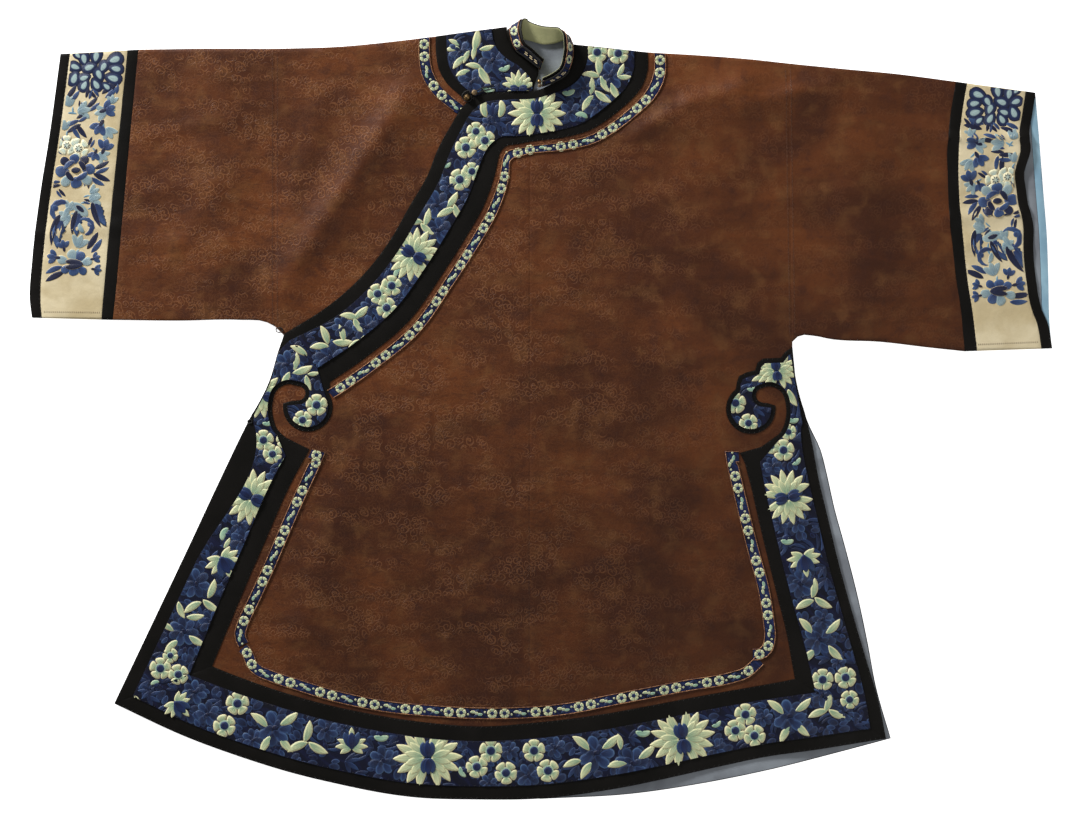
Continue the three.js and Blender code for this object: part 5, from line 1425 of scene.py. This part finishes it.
for seed, (name, rows) in enumerate(FLOWERS.items()):
    bm = cloth_of_stitches()
    outline = OUTLINES[name]
    height, _, cover = lie_of(name)
    taken = [(x, y, REACH[pattern] * size * (0.25 if pattern in ("leaf", "lotus") else 0.5))
             for pattern, x, y, turn, size in rows]
    if cover is not None:
        rows = [row for row in rows if not inside(cover, row[1], row[2])[0]]
        taken += [(x, y, 9.0) for x, y in cover]
    count = filled(bm, outline, taken, ["blob", "spray", "wave", "blob"], 14.5, 40 + seed)
    for pattern, x, y, turn, size in sorted(rows, key=lambda row: OVER.get(row[0], 0)):
        stamp(bm, pattern, x, y, turn, size, outline, OVER.get(pattern, 0.0) * 0.8)
    if cover is not None:
        trimmed(bm, cover, 0.6)
    sewn(bm, f"embroidery_{name}", height, 2 * PLY)
    print(name, len(rows), "flowers and leaves,", count, "scrolls")

# %% Flowers of the ribbons


def ribbon_rows(line, start=9.0):
    """Places along a ribbon: two plums, then a sprig, again and again."""
    line = np.array(line, float)
    t = run_of(line)
    way = np.gradient(line, t, axis=0)
    s, step, rows = start, 0, []
    while s < t[-1] - 7:
        pattern, ahead = (("ribbon_plum", 17.0), ("ribbon_plum", 21.0), ("ribbon_sprig", 21.5))[step % 3]
        (x, y), (dx, dy) = spot_at(s, t, line), spot_at(s, t, way)
        rows.append((pattern, float(x), float(y), math.degrees(math.atan2(dy, dx))))
        s, step = s + ahead, step + 1
    return rows


for name, (one, two) in RIBBONS.items():
    bm = cloth_of_stitches()
    height, _, cover = lie_of(name)
    for pattern, x, y, turn in ribbon_rows((one + two) / 2):
        if cover is None or not inside(cover, x, y)[0]:
            stamp(bm, pattern, x, y, turn, 1.0)
    sewn(bm, f"ribbon_{name}_flowers", height, ribbon_level(name))
print("ribbon flowers sewn")

# %% [markdown]
# ## Embroidered cuffs
#
# The ivory bands carry blue work on a light ground: a knot of looped petals at the shoulder edge, sprays,
# two pale plum blossoms, a great peony, a butterfly with toothed wings and a low flower. The two cuffs are
# the same pattern turned over, and the lowest part stays plain because it hangs at the back of the hand.

# %% Cuff pattern: pattern, across, down, turn, size
EMBROIDERY_CUFF = [
    ("ring", -19.1, 10.1, 100, 1), ("ring", -2.5, 6.8, 80, 1.05), ("ring", 24.1, 10.9, 20, 1.15),
    ("ring", -30.2, 21, 160, 0.95), ("ring", -10.1, 21.5, 200, 1.05), ("ring", 9.4, 21, 60, 0.95),
    ("ring", 27.4, 23.6, -10, 1), ("ring", -29.8, 36.7, 250, 1.1), ("ring", -15.9, 36.2, 200, 0.9),
    ("ring", 4.5, 31.7, 110, 1), ("ring", 24.7, 36.7, -15, 1.15), ("ring", -14.7, 46.4, 240, 0.95),
    ("ring", 2.1, 45.4, -60, 1), ("ring", 17.1, 48.1, -40, 0.8), ("ring", -28.5, 5.1, 130, 0.7),
    ("navyleaf", -28.9, 59, 38, 1.15), ("navyleaf", -6.6, 57.5, 60, 0.8), ("navyleaf", 1, 57.5, 115, 0.8),
    ("navyleaf", 22.3, 53.2, 30, 1.3), ("navyleaf", 30.1, 50.7, 70, 0.8), ("navyleaf", 1.2, 73.5, 28, 1.05),
    ("navyleaf", -16.7, 72.7, 70, 0.5), ("pale", -13.1, 81.1, 10, 1.3), ("pale", -33, 69.7, 110, 1.1),
    ("bud", 23.3, 78.6, 20, 1.1), ("pale", 15, 83.6, 190, 1.2), ("navyleaf", -12.1, 90, 20, 0.9),
    ("navyleaf", -23.4, 101.4, 195, 1.1), ("navyleaf", -15.5, 110.2, -70, 1.15),
    ("pale", -35.1, 102.6, 100, 1), ("bud", 12.6, 105.2, -120, 1.1), ("pale", 27.1, 110.2, -60, 1.2),
    ("pale", 27, 67.2, 80, 0.9), ("paleplum", -28.9, 129.2, 0, 0.95), ("paleplum", -11.9, 133.5, 20, 1),
    ("navyleaf", -39, 121.4, 60, 0.7), ("navyleaf", -36.9, 136.8, -60, 0.6),
    ("navyleaf", 4.8, 125.4, 50, 0.7), ("navyleaf", -1.4, 143.2, -10, 0.5), ("bud", 24.8, 129.2, 70, 1.05),
    ("pale", 22.2, 143.2, -40, 1.1), ("bud", 11.3, 143.2, -110, 0.8), ("grandpeony", -12.2, 163.4, 0, 1.1),
    ("navyleaf", 24.5, 160.4, 10, 1.1), ("navyleaf", 22.3, 176.1, -42, 1.25),
    ("navyleaf", 5.4, 179.2, 250, 0.8), ("navyleaf", -38.3, 182.2, 175, 0.8),
    ("navyleaf", -23.8, 180.7, 10, 0.6), ("pale", 16.7, 193.1, 28, 1), ("navyleaf", -29.9, 195.1, -65, 0.7),
    ("scroll", -30, 215.4, 150, 1.2), ("pale", -14.2, 214.1, 60, 1), ("body", 0.4, 215.4, -30, 1.2),
    ("serrate", 25.3, 223, -80, 1.25), ("navyleaf", 9.4, 206.5, -30, 0.6), ("pale", 17.9, 202.7, 20, 1.2),
    ("serrate", -3.7, 234.4, -110, 1.15), ("scroll", 14.8, 240.7, 20, 1),
    ("serrate", -29.1, 244.5, 245, 1.5), ("pale", -17.6, 228.6, 200, 1.2),
    ("navyleaf", -22.7, 240.7, 250, 0.7), ("navyleaf", 26.5, 264.8, 40, 1.35),
    ("pale", 4.3, 263.5, 70, 1.3), ("bud", -17.7, 266.1, 100, 0.8), ("bud", -30.9, 282.5, 170, 0.9),
    ("bloomblue", 0.7, 292.7, 0, 1.1), ("navyleaf", -26.3, 304.1, 190, 1.4), ("bud", 30.1, 283.8, 20, 0.7),
    ("bud", 33.3, 300.3, -10, 0.7),
]
for side, rows, scale in ((-1, cuff_left, 1.0), (1, cuff_right, 0.96)):
    bm = cloth_of_stitches()
    line = across(rows, 0.49)
    t = run_of(line)
    outline = slab(rows, 0.14, 0.85)
    for pattern, over, down, turn, size in EMBROIDERY_CUFF:
        x, y = spot_at(down * scale, t, line)
        face = turn if side < 0 else 180 - turn
        stamp(bm, pattern, float(x) - side * over * 0.97, float(y), face, size * 0.98, outline,
              OVER.get(pattern, 0.0) * 0.4)
    sewn(bm, "embroidery_cuff_" + ("left" if side < 0 else "right"), under_height, 0)
print("cuffs sewn")

# %% [markdown]
# ## Standing collar
#
# The collar is a stiff narrow band that stands at the front, leans back at the nape and shows its greenish
# lining there. It is a strip of cloth bent round the neck line: black outside, lining inside, and the
# flower ribbon sewn round the outside. All three follow one surface, set off from it by their plies.

# %% Collar surfaces
collar = smooth(COLLAR, 1.6)
collar_feet, collar_tops = collar[:, 0:3], collar[:, 3:6]
collar_rise = collar_tops - collar_feet
collar_way = np.gradient(collar_feet + collar_tops, axis=0)
collar_out = np.cross(collar_rise, collar_way)
collar_out /= np.linalg.norm(collar_out, axis=1)[:, None]
collar_run = np.concatenate([[0], np.cumsum(np.linalg.norm(np.diff(
    (collar_feet + collar_tops) / 2, axis=0), axis=1))])


def on_collar(run, share, off):
    """A point this far along the collar, at a share of its height, set off outwards."""
    def at(column):
        return np.stack([np.interp(run, collar_run, column[:, k]) for k in range(3)], axis=-1)
    share, off = np.broadcast_to(share, run.shape), np.broadcast_to(off, run.shape)
    swell = 0.5 * np.sin(np.pi * np.clip(share, 0, 1))
    ripple = 0.25 * np.sin(run / 7.0) * np.clip(share, 0, 1)
    return at(collar_feet) + at(collar_rise) * share[:, None] + at(collar_out) * (off + swell + ripple)[:, None]


def bent_round(bm, run, share, off):
    """Move the vertices to these runs, shares and offsets on the collar."""
    for v, place in zip(bm.verts, on_collar(run, share, off)):
        v.co = place


def collar_piece(name, low, high, off, material, thickness):
    bm = bmesh.new()
    bmesh.ops.create_grid(bm, x_segments=120, y_segments=8, size=0.5)
    spots = spots_of(bm)
    bent_round(bm, (spots[:, 0] + 0.5) * collar_run[-1], low + (spots[:, 1] + 0.5) * (high - low), off)
    bm.faces.ensure_lookup_table()
    middle = bm.faces[len(bm.faces) // 2 + 20]
    bm.normal_update()
    centre = np.array(middle.calc_center_median()[:])
    near = int(np.argmin(np.linalg.norm((collar_feet + collar_tops) / 2 - centre, axis=1)))
    if np.dot(np.array(middle.normal[:]), collar_out[near]) < 0:
        bmesh.ops.reverse_faces(bm, faces=bm.faces[:])
    made = sum(f.calc_area() for f in bm.faces)
    obj = finished(bm, name + "_cloth", material, name, thickness=thickness, up=None)
    return declared(obj)


collar_piece("collar_lining", 0.0, 0.99, -0.3, COLLAR_SILK, 1.0)
collar_piece("collar_band", 0.0, 1.0, 1.0, BLACK, 1.0)
collar_piece("collar_ribbon", 0.26, 0.86, 2.2, RIBBON_GROUND, 0.8)
runs = np.linspace(0, collar_run[-1], 160)
for name, share, off, radius, material in (
        ("collar_piping", 1.0, 0.35, 0.85, BLACK), ("collar_thread_upper", 0.85, 2.3, 0.5, COPPER),
        ("collar_thread_lower", 0.27, 2.3, 0.5, COPPER)):
    strands(name, [on_collar(runs, share, off)], radius, material)

# %% Flowers on the collar's ribbon
LOOP_ROOM = 44
bm = cloth_of_stitches()
for pattern, x, _, _ in ribbon_rows(np.column_stack([collar_run, np.zeros_like(collar_run)]), 45.0):
    if x < collar_run[-1] - LOOP_ROOM:
        stamp(bm, pattern, x, 0, 0, 0.86)
spots = spots_of(bm)
bent_round(bm, np.clip(spots[:, 0], 0, collar_run[-1]), 0.56 + spots[:, 1] / 24, 2.2 + spots[:, 2])
finished(bm, "collar_flowers", THREAD, None, thickness=0, up=None)
print("collar", round(collar_run[-1]), "mm round")

# %% Sewn loops at the collar's two ends
loops, flecks = [], []
for start in (2.0, collar_run[-1] - 38.0):
    run = np.linspace(start, start + 36.0, 24)
    loops.append(np.vstack([on_collar(run, 0.28, 3.0), on_collar(run[::-1], 0.84, 3.0)]))
    for begin in np.arange(start + 4, start + 28, 8.5):
        flecks.append(on_collar(np.linspace(begin, begin + 5.5, 4), 0.5, 3.2))
        flecks.append(on_collar(np.linspace(begin + 2, begin + 6.5, 4), 0.63, 3.2))
strands("collar_loops", loops, 1.25, CORD, closed=True, sides=2)
strands("collar_loop_stitches", flecks, 0.7, IVORY)

# %% [markdown]
# ## Buttons, knots and loops
#
# The lapel closes with a small gilt ball through a cord loop. The ball is cast with ridges, so its sphere
# is pushed in and out round its axis. The knot beside it and the knobs at the collar's end are wound cord.

# %% Gilt ball and knobs


def ball(name, x, y, z, radius, material, ridges_round, node=None):
    bm = bmesh.new()
    bmesh.ops.create_uvsphere(bm, u_segments=48, v_segments=28, radius=radius)
    for v in bm.verts:
        around = math.atan2(v.co.y, v.co.x)
        level = v.co.z / radius
        swell = 1 + 0.05 * math.cos(ridges_round * around) * (1 - level ** 4)
        v.co *= swell
    bmesh.ops.translate(bm, vec=(x, y, z), verts=bm.verts[:])
    return finished(bm, name, material, node, thickness=0)


def ply_height(x, y):
    return float(under_height(np.array(float(x)), np.array(float(y))))


ball("button_neck_ball", -101, 426, ply_height(-101, 426) + 2 * PLY + 4.6, 4.5, GILT, 9, "button_neck")
base = ply_height(-91, 432.5) + 3 * PLY
turns = []
for tilt in range(0, 180, 36):
    a = np.linspace(0, 2 * np.pi, 25)[:-1]
    c, s = math.cos(math.radians(tilt)), math.sin(math.radians(tilt))
    px, py, pz = 3.1 * np.cos(a), 3.1 * np.sin(a) * 0.55, 3.1 * np.sin(a) * 0.83
    turns.append(np.stack([-91 + px * c - py * s, 432.5 + px * s + py * c, base + 3.8 + pz], axis=1))
knot = strands("knot_neck_cord", turns, 0.85, KNOT, closed=True, sides=2)
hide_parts("knot_neck")
ball("knot_neck_heart", -91, 432.5, base + 3.8, 2.9, KNOT, 5)
for name, x, y, z, radius in (("upper", -2, 446.3, 22, 3.1), ("lower", -1.8, 441.9, 13, 2.9)):
    ball(f"knob_collar_{name}_ball", x, y, z, radius, KNOT if name == "lower" else GILT, 6,
         f"knob_collar_{name}")

# %% Cord loops
cords = []
z = ply_height(-97, 430) + 3 * PLY + 0.6
cords.append([(-96, 431, z + 2.2), (-98, 435, z + 1.6), (-104, 433.5, z + 0.6), (-108, 428, z), (-105, 422, z),
              (-99, 420.5, z + 0.4), (-95, 424.5, z + 1.6), (-95.5, 429, z + 2.2)])
cords.append([(-88, 435, z + 1.5), (-80, 439, z + 0.6), (-72, 441, z), (-64, 442, z - 0.4)])
cords.append([(-88, 431, z + 1.5), (-80, 434.5, z + 0.6), (-72, 437, z), (-64, 438.5, z - 0.4)])
strands("neck_cords", [smooth(line, 1.0) for line in cords], 0.75, CORD, sides=2)
for name, x, y, rx, ry, cord, lift in (
        ("loop_underarm", -358, 108, 4.6, 3.3, 0.75, PLY), ("loop_side", -398, -17, 3.0, 2.4, 0.65, 3 * PLY)):
    a = np.linspace(0, 2 * np.pi, 33)[:-1]
    z = ply_height(x, y) + lift + 0.9
    line = np.stack([x + rx * np.cos(a), y + ry * np.sin(a), z + 0.2 * np.sin(3 * a)], axis=1)
    loop = strands(name + "_cord", [line], cord, CORD, closed=True, sides=2)
    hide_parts(name)
print("fastenings made")

# %% [markdown]
# ## Hand sewing
#
# Borders, strips, cuff bands and sleeve seams are held by small slanting stitches that a hand sewer sets a
# few millimetres apart. They are short rounded threads, laid across each edge at an even pitch.

# %% Stitches along the edges


def stitches(line, height, level, pitch=7.0, reach=1.0, slant=0.7):
    """Short slanting stitches across a line, a pitch apart, left out at the joints."""
    line = np.array(line, float)
    t = run_of(line)
    s = np.arange(pitch / 2, t[-1], pitch)
    way = np.gradient(line, t, axis=0)
    out = []
    for a, b, c, d in zip(*spot_at(s, t, line), *spot_at(s, t, way)):
        ends = np.array([(a - reach * (d + slant * -c), b + reach * (c + slant * d)), (a, b),
                         (a + reach * (d + slant * -c), b - reach * (c + slant * d))])
        if to_joint(a, b)[0] < 3:
            continue
        z = height(ends[:, 0], ends[:, 1]) + level
        out.append(np.column_stack([ends, z + np.array([0.0, 0.35, 0.0])]))
    return out


marks = []
for name in ("lapel", "hem"):
    rows = bands[name]
    for share, plies in ((rows[:, 4] + 0.012, 2), (rows[:, 5] - 0.012, 2), (0.985, 1), (0.02, 1)):
        marks += stitches(across(rows, share), front_height, plies * PLY + CLOTH)
for outline, within, plies in ((left_strip, 0.8, 2), (right_strip, 0.8, 2), (left_border, 1.3, 1),
                               (right_border, 1.3, 1)):
    marks += stitches(offset(outline, within), front_height, plies * PLY + CLOTH)
strands("border_stitches", marks, 0.16, SEWING, sides=0)
marks = []
for rows in (cuff_left, cuff_right):
    for share in (0.118, 0.868):
        marks += stitches(across(rows, share), under_height, CLOTH, 6.0)
strands("cuff_stitches", marks, 0.28, SEWING, sides=0)
hems = []
for rows in (cuff_left, cuff_right):
    ends = across(rows, 0.15)[-2], across(rows, 0.84)[-2]
    hems += stitches(smooth(ends, 6), under_height, CLOTH, 2.6, 1.1, 0.2)
strands("cuff_hem_stitches", hems, 0.22, BROWN_SEWING, sides=0)
seams = []
for line in ([(-364, 485), (-364, 122)], [(338, 466), (344, 100)]):
    for shift in (-3.4, 3.4):
        shifted = smooth([(x + shift, y) for x, y in line], 12)
        seams += stitches(shifted, under_height, CLOTH - 0.1, 6.0, 0.9, 6.0)
strands("sleeve_seam_stitches", seams, 0.15, BROWN_SEWING, sides=0)
print("stitches", len(marks) + len(seams))

# %% [markdown]
# ## Floor, light and camera
#
# The robe lies on a pale plain floor and is looked at straight down, with its neck away from us. Two wide
# lamps and a light sky leave only soft shade beside the folds and the edges.

# %% Floor
bpy.ops.mesh.primitive_plane_add(size=7.0, location=(0, 0, -0.0004))
floor = bpy.context.object
floor.name = "floor"
material, tree, shader, place = dyed("floor_paper", 0.85, specular=0.1)
grain = noise(tree, place, 0.02, 5.0)
finish_cloth(tree, shader, mixed(tree, grain, tint(249, 249, 248), tint(252, 252, 252)), grain, 0.05)
shader.inputs["Emission Color"].default_value = (1, 1, 1, 1)
shader.inputs["Emission Strength"].default_value = 0.7
floor.data.materials.append(material)

# %% Lamps and sky
world = bpy.data.worlds.new("sky")
bpy.context.scene.world = world
world.use_nodes = True
sky = world.node_tree.nodes["Background"]
sky.inputs["Color"].default_value = (1.0, 1.0, 1.0, 1.0)
sky.inputs["Strength"].default_value = 0.37


def lamp(name, place, size, power):
    light = bpy.data.lights.new(name, "AREA")
    light.shape = "DISK"
    light.size = size
    light.energy = power
    obj = bpy.data.objects.new(name, light)
    obj.location = place
    obj.rotation_euler = Vector(place).to_track_quat("Z", "Y").to_euler()
    bpy.context.collection.objects.link(obj)


lamp("key", (-3.4, 3.9, 2.0), 1.3, 640.0)
lamp("fill", (2.6, -1.4, 2.6), 2.2, 50.0)

# %% Camera: straight above, high enough for the picture's width on the floor, all in metres
CAMERA_HEIGHT = 4.0
PICTURE_WIDTH = 1.4794
SENSOR = 36.0
camera_data = bpy.data.cameras.new("camera")
camera_data.sensor_width = SENSOR
camera_data.lens = SENSOR * CAMERA_HEIGHT / PICTURE_WIDTH
camera_data.clip_end = 20.0
camera = bpy.data.objects.new("camera", camera_data)
camera.location = (-0.00137, -0.0041, CAMERA_HEIGHT)
bpy.context.collection.objects.link(camera)
bpy.context.scene.camera = camera
bpy.context.scene.view_settings.view_transform = "Standard"

for mesh in PATTERNS.values():
    bpy.data.meshes.remove(mesh)
bpy.context.view_layer.update()
